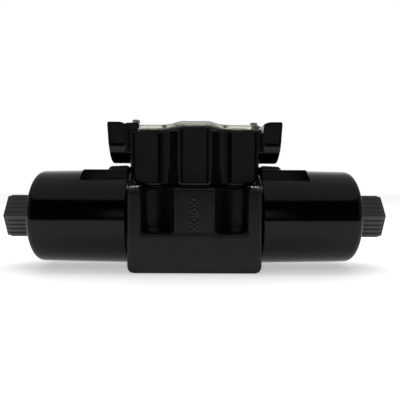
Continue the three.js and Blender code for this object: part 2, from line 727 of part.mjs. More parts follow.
function coverGasket() {
  const z0 = BOX_RIM + FINE_GAP;
  const z1 = COVER_BOTTOM - FINE_GAP;
  const middle = planPrism(boxOutline(2.6, 1.5), z0 - 1, z1 + 1);
  let ring = planPrism(boxOutline(0.6, 2.4), z0, z1);
  ring = ring.add(block(BAND_INSIDE_X, COVER_RIGHT - 0.6, -BAND_Y + 0.6, BAND_Y - 0.6, z0, z1));
  ring = ring.subtract(middle).intersect(block(COVER_LEFT, COVER_RIGHT, -50, 50, z0 - 1, z1 + 1));
  return ring.subtract(post(2.2, COVER_SCREW_X, COVER_SCREW_Y, z0 - 1, z1 + 1, SMALL_ROUND));
}

// Clear cover: a shallow tray with a tongue on the left and a screw ear on the right
function cover() {
  let plate = planPrism(boxOutline(0, 3), COVER_BOTTOM, COVER_TOP);
  plate = plate.add(block(BAND_INSIDE_X, COVER_RIGHT, -BAND_Y, BAND_Y, COVER_BOTTOM, COVER_TOP));
  plate = plate.intersect(block(COVER_LEFT, COVER_RIGHT, -50, 50, COVER_BOTTOM, COVER_TOP));
  plate = plate.add(block(-46, COVER_LEFT + 1, -TONGUE_Y, TONGUE_Y, COVER_BOTTOM, TONGUE_TOP));
  const hollow = planPrism(boxOutline(5, 1), COVER_BOTTOM - 1, COVER_TOP - 1.6);
  const narrow = block(COVER_LEFT + 3, 36, -50, 50, COVER_BOTTOM - 1, COVER_TOP);
  plate = plate.subtract(hollow.intersect(narrow));
  for (const x of [-COVER_SCREW_X, COVER_SCREW_X]) {
    plate = plate.subtract(post(2, x, COVER_SCREW_Y, COVER_BOTTOM - 1, COVER_TOP + 1, SMALL_ROUND));
  }
  return plate;
}

// A cheese-head screw standing on the Z axis, its head resting on z = 0
function screw(headRadius, headHeight, shankRadius, length) {
  const head = post(headRadius, 0, 0, 0, headHeight, 12);
  const shank = post(shankRadius, 0, 0, -length, 0.5, SMALL_ROUND);
  const slot = block(-headRadius, headRadius, -0.4, 0.4, headHeight * 0.5, headHeight + 1);
  return head.add(shank).subtract(slot);
}

function terminalBlock() {
  const floor = BOX_BOTTOM + WALL + GAP;
  let base = block(-20, 20, -8, 8, floor, floor + 8);
  base = base.add(block(-20, 20, -3, 3, floor, floor + 12));
  for (let i = 0; i < 6; i += 1) {
    const x = -16.25 + i * 6.5;
    for (const y of [-5.6, 5.6]) base = base.subtract(post(1.9, x, y, floor + 5, floor + 9, SMALL_ROUND));
  }
  return base;
}

function addTerminalBox(group) {
  const insideFloor = BOX_BOTTOM + WALL;
  addPiece(group, 'box_gasket', boxGasket(), paints.rubber);
  addPiece(group, 'terminal_box', terminalBox(), paints.blackPaint);
  addPiece(group, 'terminal_block', terminalBlock(), paints.palePlastic);
  const blockTop = insideFloor + GAP + 12;
  addPiece(group, 'indicator_board', block(-24, 24, -9, 9, blockTop + GAP, blockTop + 1.9), paints.board);
  for (const [name, x] of [['a', -14], ['b', 14]]) {
    const side = Math.sign(x);
    const lamp = post(2.4, x, -4, blockTop + 2.2, blockTop + 9, 16);
    addPiece(group, `indicator_lamp_${name}`, lamp, paints.lamp);
    const boxScrew = screw(3.8, 2.8, 1.7, 10.3).translate(BOX_SCREW_X * side, 0, insideFloor + FINE_GAP);
    addPiece(group, `box_screw_${name}`, boxScrew, paints.steel);
  }
  const earth = screw(3.2, 2.2, 1.6, 2).translate(0, EARTH_SCREW_Y, insideFloor + FINE_GAP);
  addPiece(group, 'earth_screw', earth, paints.brass);
  addPiece(group, 'cover_gasket', coverGasket(), paints.rubber);
  addPiece(group, 'cover', cover(), paints.cover);
  const seats = [['left', -COVER_SCREW_X, LIP_TOP], ['right', COVER_SCREW_X, COVER_TOP]];
  for (const [name, x, seat] of seats) {
    const coverScrew = screw(2.75, 2.2, 1.6, seat - 83).translate(x, COVER_SCREW_Y, seat + FINE_GAP);
    addPiece(group, `cover_screw_${name}`, coverScrew, paints.steel);
  }
  const plate = block(-9.5, 9.5, BULGE_Y + FINE_GAP, BULGE_Y + 0.7, 62, 88);
  addPiece(group, 'nameplate', plate, paints.aluminium);
}

const valve = new THREE.Group();
addBody(valve);
addPiece(valve, 'spool', spool().translate(0, 0, AXIS_Z), paints.steel);
addSolenoid(valve, 'a');
addSolenoid(valve, 'b');
addTerminalBox(valve);

export default valve;
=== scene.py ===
"""Looks of the solenoid directional valve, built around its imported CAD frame.

Shapes are drawn in millimetres in the frame's own axes and scaled to metres when a mesh is made.
Castings and mouldings are smooth distance fields meshed by surface nets; turned pieces are lathed.
"""
import math

import bmesh
import bpy
import numpy as np
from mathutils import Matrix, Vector


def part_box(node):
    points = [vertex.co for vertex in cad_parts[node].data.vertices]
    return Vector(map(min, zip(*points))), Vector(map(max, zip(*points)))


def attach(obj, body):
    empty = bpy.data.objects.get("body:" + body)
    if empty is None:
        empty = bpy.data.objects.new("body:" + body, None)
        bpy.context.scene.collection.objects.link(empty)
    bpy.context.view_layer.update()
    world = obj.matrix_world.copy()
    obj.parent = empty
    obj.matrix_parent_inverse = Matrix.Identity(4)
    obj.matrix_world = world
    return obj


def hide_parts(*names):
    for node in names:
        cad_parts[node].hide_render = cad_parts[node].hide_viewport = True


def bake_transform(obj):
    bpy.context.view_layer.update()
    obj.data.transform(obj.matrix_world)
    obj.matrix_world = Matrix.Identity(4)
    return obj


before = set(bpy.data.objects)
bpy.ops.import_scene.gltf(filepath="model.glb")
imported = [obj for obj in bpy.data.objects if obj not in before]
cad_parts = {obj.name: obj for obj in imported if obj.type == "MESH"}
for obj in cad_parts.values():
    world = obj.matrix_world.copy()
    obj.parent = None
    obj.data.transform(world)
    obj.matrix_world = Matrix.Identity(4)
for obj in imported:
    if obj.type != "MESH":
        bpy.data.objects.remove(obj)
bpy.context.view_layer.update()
MM = 0.001


def box_mm(node):
    """Lowest and highest corner of a CAD node in millimetres."""
    low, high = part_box(node)
    return np.array(low) / MM, np.array(high) / MM


BODY_LOW, BODY_HIGH = box_mm("valve_body")
BOX_LOW, BOX_HIGH = box_mm("terminal_box")
COVER_LOW, COVER_HIGH = box_mm("cover")
COIL_LOW, COIL_HIGH = box_mm("coil_case_b")
NUT_LOW, NUT_HIGH = box_mm("lock_nut_b")
SPOOL_LOW, SPOOL_HIGH = box_mm("spool")
AXIS_Z = (SPOOL_LOW[2] + SPOOL_HIGH[2]) / 2
SIGNS = {"a": -1, "b": 1}

# ---- mesh helpers


def new_object(name, data):
    thing = bpy.data.objects.new(name, data)
    bpy.context.scene.collection.objects.link(thing)
    return thing


def new_piece(name, vertices, faces, look, body="housing", replaces=None, normals=None, sharp=None):
    """A smooth mesh object from millimetre vertices, riding on a body and standing for a CAD node.

    Edges sharper than the given angle in degrees stay hard.
    """
    mesh = bpy.data.meshes.new(name)
    mesh.from_pydata((np.asarray(vertices, float) * MM).tolist(), [], [list(f) for f in faces])
    mesh.validate()
    mesh.polygons.foreach_set("use_smooth", [True] * len(mesh.polygons))
    if normals is not None:
        mesh.normals_split_custom_set_from_vertices(normals.tolist())
    mesh.materials.append(LOOKS[look])
    piece = new_object(name, mesh)
    if body:
        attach(piece, body)
    if replaces:
        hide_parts(replaces)
    if sharp:
        piece.modifiers.new("sharp_edges", "EDGE_SPLIT").split_angle = math.radians(sharp)
    return piece


def circle(x, radius, count):
    """A row of points around the x axis."""
    angles = [2 * math.pi * k / count for k in range(count)]
    return [(x, radius * math.cos(a), radius * math.sin(a)) for a in angles]


def ring_rows(rows):
    """Faces of the bands between rows of equal length, each closed on itself."""
    count = len(rows[0])
    faces = []
    for i in range(len(rows) - 1):
        for k in range(count):
            n = (k + 1) % count
            faces.append((i * count + k, i * count + n, (i + 1) * count + n, (i + 1) * count + k))
    return faces


def capped_rows(rows):
    """Faces of the bands and of both ends."""
    count, last = len(rows[0]), len(rows) - 1
    return ring_rows(rows) + [tuple(range(count))[::-1], tuple(range(last * count, (last + 1) * count))]


def welded_rows(rows):
    """Vertices and faces of the bands; vertices that share a place are merged, collapsed faces dropped."""
    vertices = np.concatenate(rows)
    first, index = np.unique(np.round(vertices, 5), axis=0, return_index=True, return_inverse=True)[1:]
    index = index.reshape(-1)
    faces = []
    for face in ring_rows(rows):
        ring = [int(index[v]) for v in face]
        ring = [v for n, v in enumerate(ring) if v != ring[n - 1]]
        if len(ring) > 2:
            faces.append(ring)
    return vertices[first], faces


def outward(points, side, height=AXIS_Z):
    """To the frame, from coordinates with x outwards on one side along an axis at this height."""
    return points * (SIGNS[side], SIGNS[side], 1) + (0, 0, height)


def stood_up(points, place):
    """Points around the x axis, stood on end at a place."""
    return points[:, [1, 2, 0]] + place


# ---- distance fields

both = np.maximum  # what lies in both solids
either = np.minimum  # what lies in either solid


def smooth_max(a, b, radius):
    """Intersection with its convex edge rounded to about the given radius."""
    blend = np.clip(radius - np.abs(a - b), 0, None) / radius
    return both(a, b) + blend * blend * radius / 4


def smooth_min(a, b, radius):
    """Union with its concave corner filleted to about the given radius."""
    return -smooth_max(-a, -b, radius)


def cut(solid, tool, radius):
    return smooth_max(solid, -tool, radius)


def slab(value, low, high):
    return both(low - value, value - high)


def block_field(x, y, z, low, high, radius=0.0):
    """Distance to a box with all its edges rounded."""
    low, high = np.array(low), np.array(high)
    centre, half = (low + high) / 2, (high - low) / 2 - radius
    q = [np.abs(v - c) - h for v, c, h in zip((x, y, z), centre, half)]
    outside = np.sqrt(sum(np.clip(v, 0, None) ** 2 for v in q))
    return outside + either(both(q[0], both(q[1], q[2])), 0) - radius


def gradient(field, points, reach=0.02):
    """Central differences of a distance field at scattered points."""
    steps = np.eye(3) * reach
    return np.stack([field(*(points + s).T) - field(*(points - s).T) for s in steps], axis=1) / (2 * reach)


def surface_net(field, low, high, step):
    """Closed quad mesh of a distance field's zero surface, with its exact normals."""
    axes = [np.arange(l - 1.5 * step, h + 2.5 * step, step) for l, h in zip(low, high)]
    values = field(*np.meshgrid(*axes, indexing="ij"))
    cells = np.array(values.shape) - 1
    corners = [(i, j, k) for i in (0, 1) for j in (0, 1) for k in (0, 1)]

    def corner(c):
        return values[c[0]:c[0] + cells[0], c[1]:c[1] + cells[1], c[2]:c[2] + cells[2]]

    count = sum((corner(c) < 0).astype(int) for c in corners)
    mixed = (count > 0) & (count < 8)
    ids = np.full(mixed.shape, -1)
    ids[mixed] = np.arange(mixed.sum())
    total = np.zeros((mixed.sum(), 3))
    hits = np.zeros(mixed.sum())
    for a in corners:
        for axis in range(3):
            if a[axis]:
                continue
            b = tuple(v + (n == axis) for n, v in enumerate(a))
            va, vb = corner(a)[mixed], corner(b)[mixed]
            crossing = (va < 0) != (vb < 0)
            place = np.tile(np.array(a, float), (len(va), 1))
            place[:, axis] = va / np.where(crossing, va - vb, 1)
            total[crossing] += place[crossing]
            hits += crossing
    origin = np.array([a[0] for a in axes])
    points = (np.argwhere(mixed) + total / hits[:, None]) * step + origin
    faces = []
    for axis in range(3):
        u, v = (axis + 1) % 3, (axis + 2) % 3
        first = [slice(1, -1)] * 3
        first[axis] = slice(0, -1)
        second = list(first)
        second[axis] = slice(1, None)
        inside, beyond = values[tuple(first)] < 0, values[tuple(second)] < 0
        for rising in (True, False):
            index = np.argwhere((inside & ~beyond) if rising else (~inside & beyond))
            index += [0 if n == axis else 1 for n in range(3)]
            ring = []
            for du, dv in ((-1, -1), (0, -1), (0, 0), (-1, 0)):
                cell = index.copy()
                cell[:, u] += du
                cell[:, v] += dv
                ring.append(ids[tuple(cell.T)])
            faces.append(np.stack(ring if rising else ring[::-1], axis=1))
    for _ in range(3):
        slope = gradient(field, points)
        square = np.clip((slope ** 2).sum(1), 0.05, None)
        shift = field(*points.T)[:, None] * slope / square[:, None]
        points = points - np.clip(shift, -0.5 * step, 0.5 * step)
    slope = gradient(field, points)
    normals = slope / np.linalg.norm(slope, axis=1)[:, None]
    return points, np.concatenate(faces), normals


def cast_piece(name, field, low, high, step, look, **more):
    points, faces, normals = surface_net(field, low, high, step)
    new_piece(name, points, faces, look, normals=normals, **more)


# ---- turned pieces


def rounded_profile(profile, radius):
    """A closed profile with each corner off the axis cut by a small round edge of three points."""
    points = np.array(profile, float)
    result = []
    for i, point in enumerate(points):
        if point[1] == 0:
            result.append(point)
            continue
        before, after = points[i - 1] - point, points[(i + 1) % len(points)] - point
        reach = min(radius, 0.4 * np.linalg.norm(before), 0.4 * np.linalg.norm(after))
        a = point + before / np.linalg.norm(before) * reach
        b = point + after / np.linalg.norm(after) * reach
        result += [a, (a + b + 2 * point) / 4, b]
    return result


def turned_mesh(profile, segments=64, soften=0.25):
    """Vertices and faces of a closed [x, radius] profile turned about the x axis."""
    outline = rounded_profile(profile, soften) if soften else profile
    rows = [circle(x, radius, segments) for x, radius in outline]
    return welded_rows(rows + rows[:1])


def turned_piece(name, side, profile, look, soften=0.25, **more):
    vertices, faces = turned_mesh(profile, soften=soften)
    new_piece(f"{name}_{side}", outward(vertices, side), faces, look, sharp=32, **more)


# ---- materials


def map_range(tree, factor, low, high, out_low, out_high):
    """Maps low to high onto out_low to out_high, clamped, in a shader or world tree."""
    node = tree.nodes.new("ShaderNodeMapRange")
    for socket, value in (("From Min", low), ("From Max", high), ("To Min", out_low), ("To Max", out_high)):
        node.inputs[socket].default_value = value
    tree.links.new(factor, node.inputs["Value"])
    return node.outputs["Result"]


class Shader:
    """A Principled material built from a few procedural layers in object coordinates."""

    def __init__(self, name, color, roughness, metallic=0.0, **sockets):
        self.material = bpy.data.materials.new(name)
        self.material.use_nodes = True
        self.tree = self.material.node_tree
        self.bsdf = self.tree.nodes["Principled BSDF"]
        self.bsdf.inputs["Base Color"].default_value = (*color, 1)
        self.bsdf.inputs["Roughness"].default_value = roughness
        self.bsdf.inputs["Metallic"].default_value = metallic
        for socket, value in sockets.items():
            self.bsdf.inputs[socket.replace("_", " ")].default_value = value
        self.coordinates = self.node("ShaderNodeTexCoord").outputs["Object"]
        self.height = None

    def node(self, kind, **settings):
        node = self.tree.nodes.new(kind)
        for key, value in settings.items():
            setattr(node, key, value)
        return node

    def link(self, a, b):
        self.tree.links.new(a, b)

    def stretched(self, scale):
        mapping = self.node("ShaderNodeMapping")
        mapping.inputs["Scale"].default_value = scale
        self.link(self.coordinates, mapping.inputs["Vector"])
        return mapping.outputs["Vector"]

    def noise(self, scale, detail=4.0, rough=0.6, stretch=None):
        noise = self.node("ShaderNodeTexNoise")
        noise.inputs["Scale"].default_value = scale
        noise.inputs["Detail"].default_value = detail
        noise.inputs["Roughness"].default_value = rough
        self.link(self.stretched(stretch) if stretch else self.coordinates, noise.inputs["Vector"])
        return noise.outputs["Fac"]

    def spread(self, factor, low, high, out_low=0.0, out_high=1.0):
        return map_range(self.tree, factor, low, high, out_low, out_high)

    def tint(self, factor, color):
        """Mixes a second colour over what is there by a factor from 0 to 1."""
        mix = self.node("ShaderNodeMix", data_type="RGBA")
        base = self.bsdf.inputs["Base Color"]
        if base.is_linked:
            self.link(base.links[0].from_socket, mix.inputs[6])
        else:
            mix.inputs[6].default_value = base.default_value
        mix.inputs[7].default_value = (*color, 1)
        self.link(factor, mix.inputs[0])
        self.link(mix.outputs[2], base)
        return self

    def roughen(self, factor, low, high):
        self.link(self.spread(factor, 0.25, 0.75, low, high), self.bsdf.inputs["Roughness"])
        return self

    def bump(self, height, depth_mm, strength=1.0):
        bump = self.node("ShaderNodeBump")
        bump.inputs["Strength"].default_value = strength
        bump.inputs["Distance"].default_value = depth_mm * MM
        self.link(height, bump.inputs["Height"])
        if self.height:
            self.link(self.height, bump.inputs["Normal"])
        self.height = bump.outputs["Normal"]
        self.link(self.height, self.bsdf.inputs["Normal"])
        return self

    def edges(self):
        """Near 1 on convex edges, near 0 elsewhere."""
        return self.spread(self.node("ShaderNodeNewGeometry").outputs["Pointiness"], 0.52, 0.62)


def cast_paint():
    """Satin black paint over sand-cast iron, a little brown, with a fine grain and convex edges made paler,
    partly rubbed wear and partly a painted highlight.
    """
    s = Shader("cast_paint", (0.0046, 0.0043, 0.0036), 0.36, Specular_IOR_Level=0.28)
    s.tint(s.spread(s.noise(90, 5), 0.35, 0.75), (0.0080, 0.0074, 0.0060))
    s.tint(s.spread(s.noise(700, 3), 0.62, 0.72, 0, 0.5), (0.016, 0.015, 0.013))
    # painted highlight: convex edges made paler, partly rubbed wear and partly standing in for the glints of
    # light along them
    s.tint(s.spread(s.edges(), 0.1, 1, 0, 0.5), (0.035, 0.033, 0.029))
    s.roughen(s.noise(260, 4), 0.27, 0.46)
    return s.bump(s.noise(55, 3), 0.5, 0.35).bump(s.noise(520, 4, 0.7), 0.16, 0.55).material


def gloss_paint():
    """Gloss black paint with orange peel, faint dust and paler convex edges."""
    s = Shader("gloss_paint", (0.0012, 0.0012, 0.0012), 0.14, Specular_IOR_Level=0.24)
    s.tint(s.spread(s.noise(60, 5), 0.45, 0.8, 0, 0.5), (0.0040, 0.0040, 0.0036))
    s.tint(s.spread(s.edges(), 0.2, 1, 0, 0.35), (0.015, 0.015, 0.014))
    s.roughen(s.noise(140, 6, 0.7), 0.09, 0.24)
    return s.bump(s.noise(240, 2), 0.07, 0.4).bump(s.noise(38, 2), 0.35, 0.25).material


def coil_moulding():
    """Gloss black coil encapsulation with long flow marks and fine handling scratches."""
    s = Shader("coil_moulding", (0.0010, 0.0010, 0.0010), 0.10, Specular_IOR_Level=0.21)
    flow = s.noise(45, 5, 0.6, stretch=(0.35, 1.0, 1.6))
    s.tint(s.spread(flow, 0.5, 0.85, 0, 0.4), (0.0035, 0.0033, 0.0028))
    s.tint(s.spread(s.edges(), 0.2, 1, 0, 0.3), (0.012, 0.012, 0.011))
    scratches = s.noise(900, 2, 0.5, stretch=(0.08, 1.0, 1.0))
    s.roughen(s.noise(120, 6, 0.7), 0.06, 0.17)
    s.bump(s.noise(28, 2), 0.5, 0.22)
    return s.bump(s.spread(scratches, 0.66, 0.74), 0.01, 0.3).material


def nut_plastic():
    """Dark satin glass-filled plastic, paler on its ridges."""
    s = Shader("nut_plastic", (0.021, 0.021, 0.020), 0.42)
    s.tint(s.spread(s.edges(), 0.0, 0.8, 0, 0.7), (0.055, 0.055, 0.052))
    s.tint(s.spread(s.noise(150, 5), 0.4, 0.8, 0, 0.5), (0.034, 0.033, 0.031))
    s.roughen(s.noise(400, 4), 0.34, 0.52)
    return s.bump(s.noise(1300, 3), 0.05, 0.5).material


def metal(name, color, roughness, grain=(1.0, 1.0, 1.0), depth_mm=0.012, stain=(0.5, 0.5, 0.5)):
    """Machined metal with a grain drawn out along one direction and faint stains."""
    s = Shader(name, color, roughness, 1.0)
    stained = tuple(c * k for c, k in zip(color, stain))
    s.tint(s.spread(s.noise(130, 5), 0.45, 0.85, 0, 0.6), stained)
    s.roughen(s.noise(300, 4, stretch=grain), roughness * 0.75, roughness * 1.35)
    return s.bump(s.noise(1500, 3, 0.6, stretch=grain), depth_mm, 0.5).material


def rubber():
    s = Shader("rubber", (0.010, 0.010, 0.010), 0.62, Specular_IOR_Level=0.35)
    s.tint(s.spread(s.noise(300, 5), 0.45, 0.8, 0, 0.7), (0.024, 0.023, 0.022))
    s.roughen(s.noise(500, 4), 0.55, 0.78)
    return s.bump(s.noise(1400, 3), 0.05, 0.6).material


def moulded(name, color, shade, roughness=0.4):
    """Plain injection moulding with a spark-eroded grain."""
    s = Shader(name, color, roughness)
    s.tint(s.spread(s.noise(110, 5), 0.4, 0.8, 0, 0.6), shade)
    s.tint(s.spread(s.edges(), 0.1, 1, 0, 0.25), tuple(min(1, c * 1.6 + 0.01) for c in color))
    s.roughen(s.noise(500, 4), roughness * 0.8, roughness * 1.25)
    return s.bump(s.noise(1600, 3), 0.03, 0.5).material


def winding_copper():
    """Enamelled copper wire, amber where the enamel is thick."""
    s = Shader("winding_copper", (0.46, 0.15, 0.05), 0.28, 1.0, Coat_Weight=0.5, Coat_Roughness=0.15)
    s.tint(s.spread(s.noise(170, 4, stretch=(1, 0.3, 0.3)), 0.35, 0.75), (0.30, 0.085, 0.022))
    s.roughen(s.noise(350, 4), 0.2, 0.42)
    return s.bump(s.noise(1000, 2), 0.03, 0.5).material


def clear_plastic():
    """Clear polycarbonate, slightly milky, with hairline scratches."""
    s = Shader("clear_plastic", (0.70, 0.69, 0.61), 0.08, Transmission_Weight=0.92, IOR=1.5)
    s.roughen(s.noise(160, 6, 0.7), 0.03, 0.22)
    scratches = s.noise(700, 2, 0.5, stretch=(1.0, 0.1, 1.0))
    s.bump(s.noise(60, 3), 0.25, 0.35)
    return s.bump(s.spread(scratches, 0.66, 0.74), 0.02, 0.35).material


def tinted_lens():
    s = Shader("tinted_lens", (0.75, 0.05, 0.02), 0.12, Transmission_Weight=0.6, IOR=1.49)
    s.roughen(s.noise(300, 3), 0.08, 0.2)
    return s.bump(s.noise(900, 2), 0.02, 0.4).material


def circuit_board():
    """Green lacquer over a faint web of tracks."""
    s = Shader("circuit_board", (0.012, 0.085, 0.032), 0.3, Coat_Weight=0.4, Coat_Roughness=0.1)
    tracks = s.node("ShaderNodeTexVoronoi", feature="DISTANCE_TO_EDGE", distance="MANHATTAN")
    tracks.inputs["Scale"].default_value = 190
    s.link(s.coordinates, tracks.inputs["Vector"])
    lines = s.spread(tracks.outputs["Distance"], 0.04, 0.08, 1, 0)
    s.tint(lines, (0.03, 0.15, 0.055))
    s.roughen(s.noise(400, 3), 0.2, 0.4)
    return s.bump(lines, 0.04, 0.6).material


LOOKS = {
    "cast_iron": cast_paint(),
    "gloss_black": gloss_paint(),
    "coil_resin": coil_moulding(),
    "nut_plastic": nut_plastic(),
    "rubber": rubber(),
    "black_plastic": moulded("black_plastic", (0.012, 0.012, 0.012), (0.022, 0.021, 0.020)),
    "pale_plastic": moulded("pale_plastic", (0.60, 0.56, 0.46), (0.50, 0.45, 0.35), 0.45),
    "steel": metal("ground_steel", (0.60, 0.60, 0.59), 0.24, grain=(0.15, 1, 1)),
    "dark_steel": metal("dark_steel", (0.20, 0.20, 0.21), 0.36, depth_mm=0.02),
    "spring_steel": metal("spring_steel", (0.34, 0.35, 0.37), 0.30),
    "screw_steel": metal("screw_steel", (0.62, 0.62, 0.60), 0.26, depth_mm=0.02),
    "brass": metal("brass", (0.66, 0.46, 0.17), 0.28, stain=(0.6, 0.5, 0.4)),
    "plate_aluminium": metal("plate_aluminium", (0.60, 0.60, 0.61), 0.34, grain=(0.06, 1, 1), depth_mm=0.02),
    "copper_winding": winding_copper(),
    "clear_cover": clear_plastic(),
    "lamp": tinted_lens(),
    "board": circuit_board(),
}

# ---- cast body

TOWER_INSIDE = 34.2
BOSS_FRONT = 12.2
BOSS_ROOT = 22.0
BARREL_HALF = 15.0
POCKET_FLOOR = 25.4
BOSS_STEP = 1.05
CASTING_EDGE = 1.5
BOLTS = [(sx * 27.0, sy * 23.0) for sx in (-1, 1) for sy in (-1, 1)]
BOLT_RADIUS = 3.3
BOLT_SPOT_RADIUS = 6.2
PORTS = {"p": (0, -16.7), "a": (-10.3, -1.6), "b": (10.3, -1.6), "t": (-23.8, 9.5), "t1": (23.8, 9.5)}
PORT_TOPS = {"p": 38, "a": 28, "b": 28, "t": 20, "t1": 20}
PORT_RADIUS = 5.2
PORT_SEAL_RADIUS = 7.15
SPOOL_BORE = 8.0
CHAMBER_RADIUS = 10.0
CHAMBERS = ((-1, 3.5), (7.3, 13.3), (18, 23.5))
SPRING_CHAMBER_RADIUS = 11.5
FACE_RING_RADIUS = 15.5
SEAT_RADIUS = 19.0
BOX_SCREW_X = 27.0
MARK_Y = -34.0
MARK_Z = 37.0


def pocket_field(x, y, z):
    """The four bolt pockets, one in each corner, beside the slanted flanks of the middle boss."""
    ax, ay = np.abs(x), np.abs(y)
    boss_end = BODY_HIGH[1] - CASTING_EDGE
    run, rise = boss_end - BARREL_HALF, BOSS_ROOT - BOSS_FRONT
    flank = ((ax - BOSS_FRONT) * run - (boss_end - ay) * rise) / math.hypot(run, rise)
    beside_boss = smooth_max(BOSS_FRONT - ax, -flank, 3)
    walls = smooth_max(beside_boss, ax - TOWER_INSIDE - 0.02 * (z - POCKET_FLOOR), 5)
    walls = smooth_max(walls, BARREL_HALF - ay, 5)
    return smooth_max(walls, POCKET_FLOOR - z, 4)


def barrel_field(x, y, z):
    """Spool bore, annular chambers, spring chambers and seal grooves, about the spool axis."""
    along, radius = np.abs(x), np.hypot(y, z - AXIS_Z)
    bore = both(radius - SPOOL_BORE, along - 28)
    for start, end in CHAMBERS:
        bore = either(bore, both(radius - CHAMBER_RADIUS, slab(along, start, end)))
    bore = either(bore, both(radius - SPRING_CHAMBER_RADIUS, 27 - along))
    groove = both(np.abs(radius - FACE_RING_RADIUS) - 1.3, 42.5 - along)
    return either(bore, groove)


def port_field(x, y, z):
    passages = block_field(x, y, z, (-3, -20.7, 31), (3, 0, 39), 1)
    for name, (px, py) in PORTS.items():
        radius = np.hypot(x - px, y - py)
        passages = either(passages, both(radius - PORT_RADIUS, z - PORT_TOPS[name]))
        passages = either(passages, both(radius - PORT_SEAL_RADIUS, z - 1.4))
    link = block_field(np.abs(x), y, z, (20.5, 4.5, 18), (23.2, 8.5, 30))
    return either(passages, link)


def foundry_marks(x, y, z):
    """A plain column of raised rings and bars that stands where a foundry puts its marks."""
    up = z - MARK_Z
    marks = np.full(x.shape, 9.0)
    for row in (-9.6, -3.2, 3.2, 9.6):
        marks = either(marks, np.abs(np.hypot(x, up - row) - 1.7) - 0.45)
    for row in (-6.4, 0, 6.4):
        marks = either(marks, both(np.abs(x) - 2.1, np.abs(up - row) - 0.4))
    return smooth_max(marks, np.abs(y - MARK_Y) - 0.5, 0.6)


def body_field(x, y, z):
    width = BODY_HIGH[0] - 1.1
    solid = smooth_max(np.abs(x) - width, np.abs(y) - BODY_HIGH[1], 3.2)
    solid = smooth_max(solid, z - BODY_HIGH[2], 5)
    foot = smooth_max(np.abs(x) - width, -z, 6)
    solid = both(solid, foot)
    solid = smooth_max(solid, -z, 0.8)
    solid = cut(solid, pocket_field(x, y, z), 2.2)
    step = both(BODY_HIGH[1] - BOSS_STEP - np.abs(y), both(np.abs(x) - 26, POCKET_FLOOR - z))
    solid = cut(solid, step, 1.4)
    solid = smooth_min(solid, foundry_marks(x, y, z), 0.7)
    seat = both(np.hypot(y, z - AXIS_Z) - SEAT_RADIUS, np.abs(x) - BODY_HIGH[0])
    solid = smooth_min(solid, smooth_max(seat, 36 - np.abs(x), 0.5), 1.2)
    solid = cut(solid, barrel_field(x, y, z), 0.5)
    solid = cut(solid, port_field(x, y, z), 0.7)
    for bx, by in BOLTS:
        radius = np.hypot(x - bx, y - by)
        solid = cut(solid, radius - BOLT_RADIUS, 0.8)
        solid = cut(solid, both(radius - BOLT_SPOT_RADIUS, POCKET_FLOOR - 0.3 - z), 0.6)
    return cut(solid, both(np.hypot(np.abs(x) - BOX_SCREW_X, y) - 2, 48.2 - z), 0.4)


def make_body():
    cast_piece("body_casting", body_field, BODY_LOW, BODY_HIGH, 0.85, "cast_iron",
               replaces="valve_body")


# ---- coils

CASE_CAVITY = 29.0
CASE_CAVITY_END = 105.0
COIL_BORE = 12.4
COIL_RADIUS = 33.2
COIL_TAPER = 1.2
PAD_END = 78.2
PAD_TOP_END = 75.0
PAD_TOP = 32.4
PAD_FOOT = 25.0
PAD_Y = 21.0
FLAG_END = 58.6
FLAG_END_Y = 10.5
FLAG_ROOT_Y = 20.0
FLAG_TOP = 35.2


def coil_pad_field(x, y, z):
    """A squared shoulder along the top of the drum, flat on top, upright in front, drafted at its end."""
    run, drop = PAD_END - PAD_TOP_END, PAD_TOP - PAD_FOOT
    slope = ((x - PAD_END) * drop + (z - PAD_FOOT) * run) / math.hypot(run, drop)
    pad = smooth_max(z - PAD_TOP, np.abs(y) - PAD_Y, 1.2)
    pad = smooth_max(pad, both(slope, x - PAD_END), 1.0)
    return both(pad, 15 - z)


def coil_flag_field(x, y, z, start):
    """The connector block on top, wider towards the valve body."""
    run, widening = FLAG_END - start, FLAG_ROOT_Y - FLAG_END_Y
    side = ((np.abs(y) - FLAG_END_Y) * run + (x - FLAG_END) * widening) / math.hypot(run, widening)
    flag = smooth_max(both(side, np.abs(y) - FLAG_ROOT_Y), z - FLAG_TOP, 0.8)
    slope = ((x - FLAG_END) + (z - FLAG_TOP) * 0.9) * 0.74
    return both(smooth_max(flag, slope, 0.8), 20 - z)


def coil_field(x, y, z):
    """In solenoid coordinates: x outwards, z from the spool axis."""
    start, end = COIL_LOW[0], COIL_HIGH[0]
    radius = np.hypot(y, z)
    drum = smooth_max(radius - COIL_RADIUS + COIL_TAPER * (x - start) / (end - start), x - end + 0.3, 5.5)
    solid = smooth_min(drum, coil_pad_field(x, y, z), 0.5)
    solid = smooth_min(solid, coil_flag_field(x, y, z, start), 0.8)
    solid = smooth_max(solid, start - x, 0.8)
    cavity = both(radius - CASE_CAVITY, x - CASE_CAVITY_END)
    return cut(cut(solid, cavity, 0.6), radius - COIL_BORE, 0.8)


def make_coil(side):
    to_axis = np.array([0, 0, AXIS_Z])
    points, faces, normals = surface_net(coil_field, COIL_LOW - to_axis, COIL_HIGH - to_axis, 1.0)
    new_piece(f"coil_drum_{side}", outward(points, side), faces, "coil_resin",
              replaces=f"coil_case_{side}", normals=outward(normals, side, 0))


# ---- lock nuts

NUT_FLAT = 14.55
NUT_STEPS = 60
NUT_CLEARANCE = 0.3
RIBS_PER_FLAT = 5
RIB_DEPTH = 0.75
TUBE_RADIUS = 12.0
STUD_RADIUS = 10.2
STUD_START = 115.7
STUD_END = 127.0


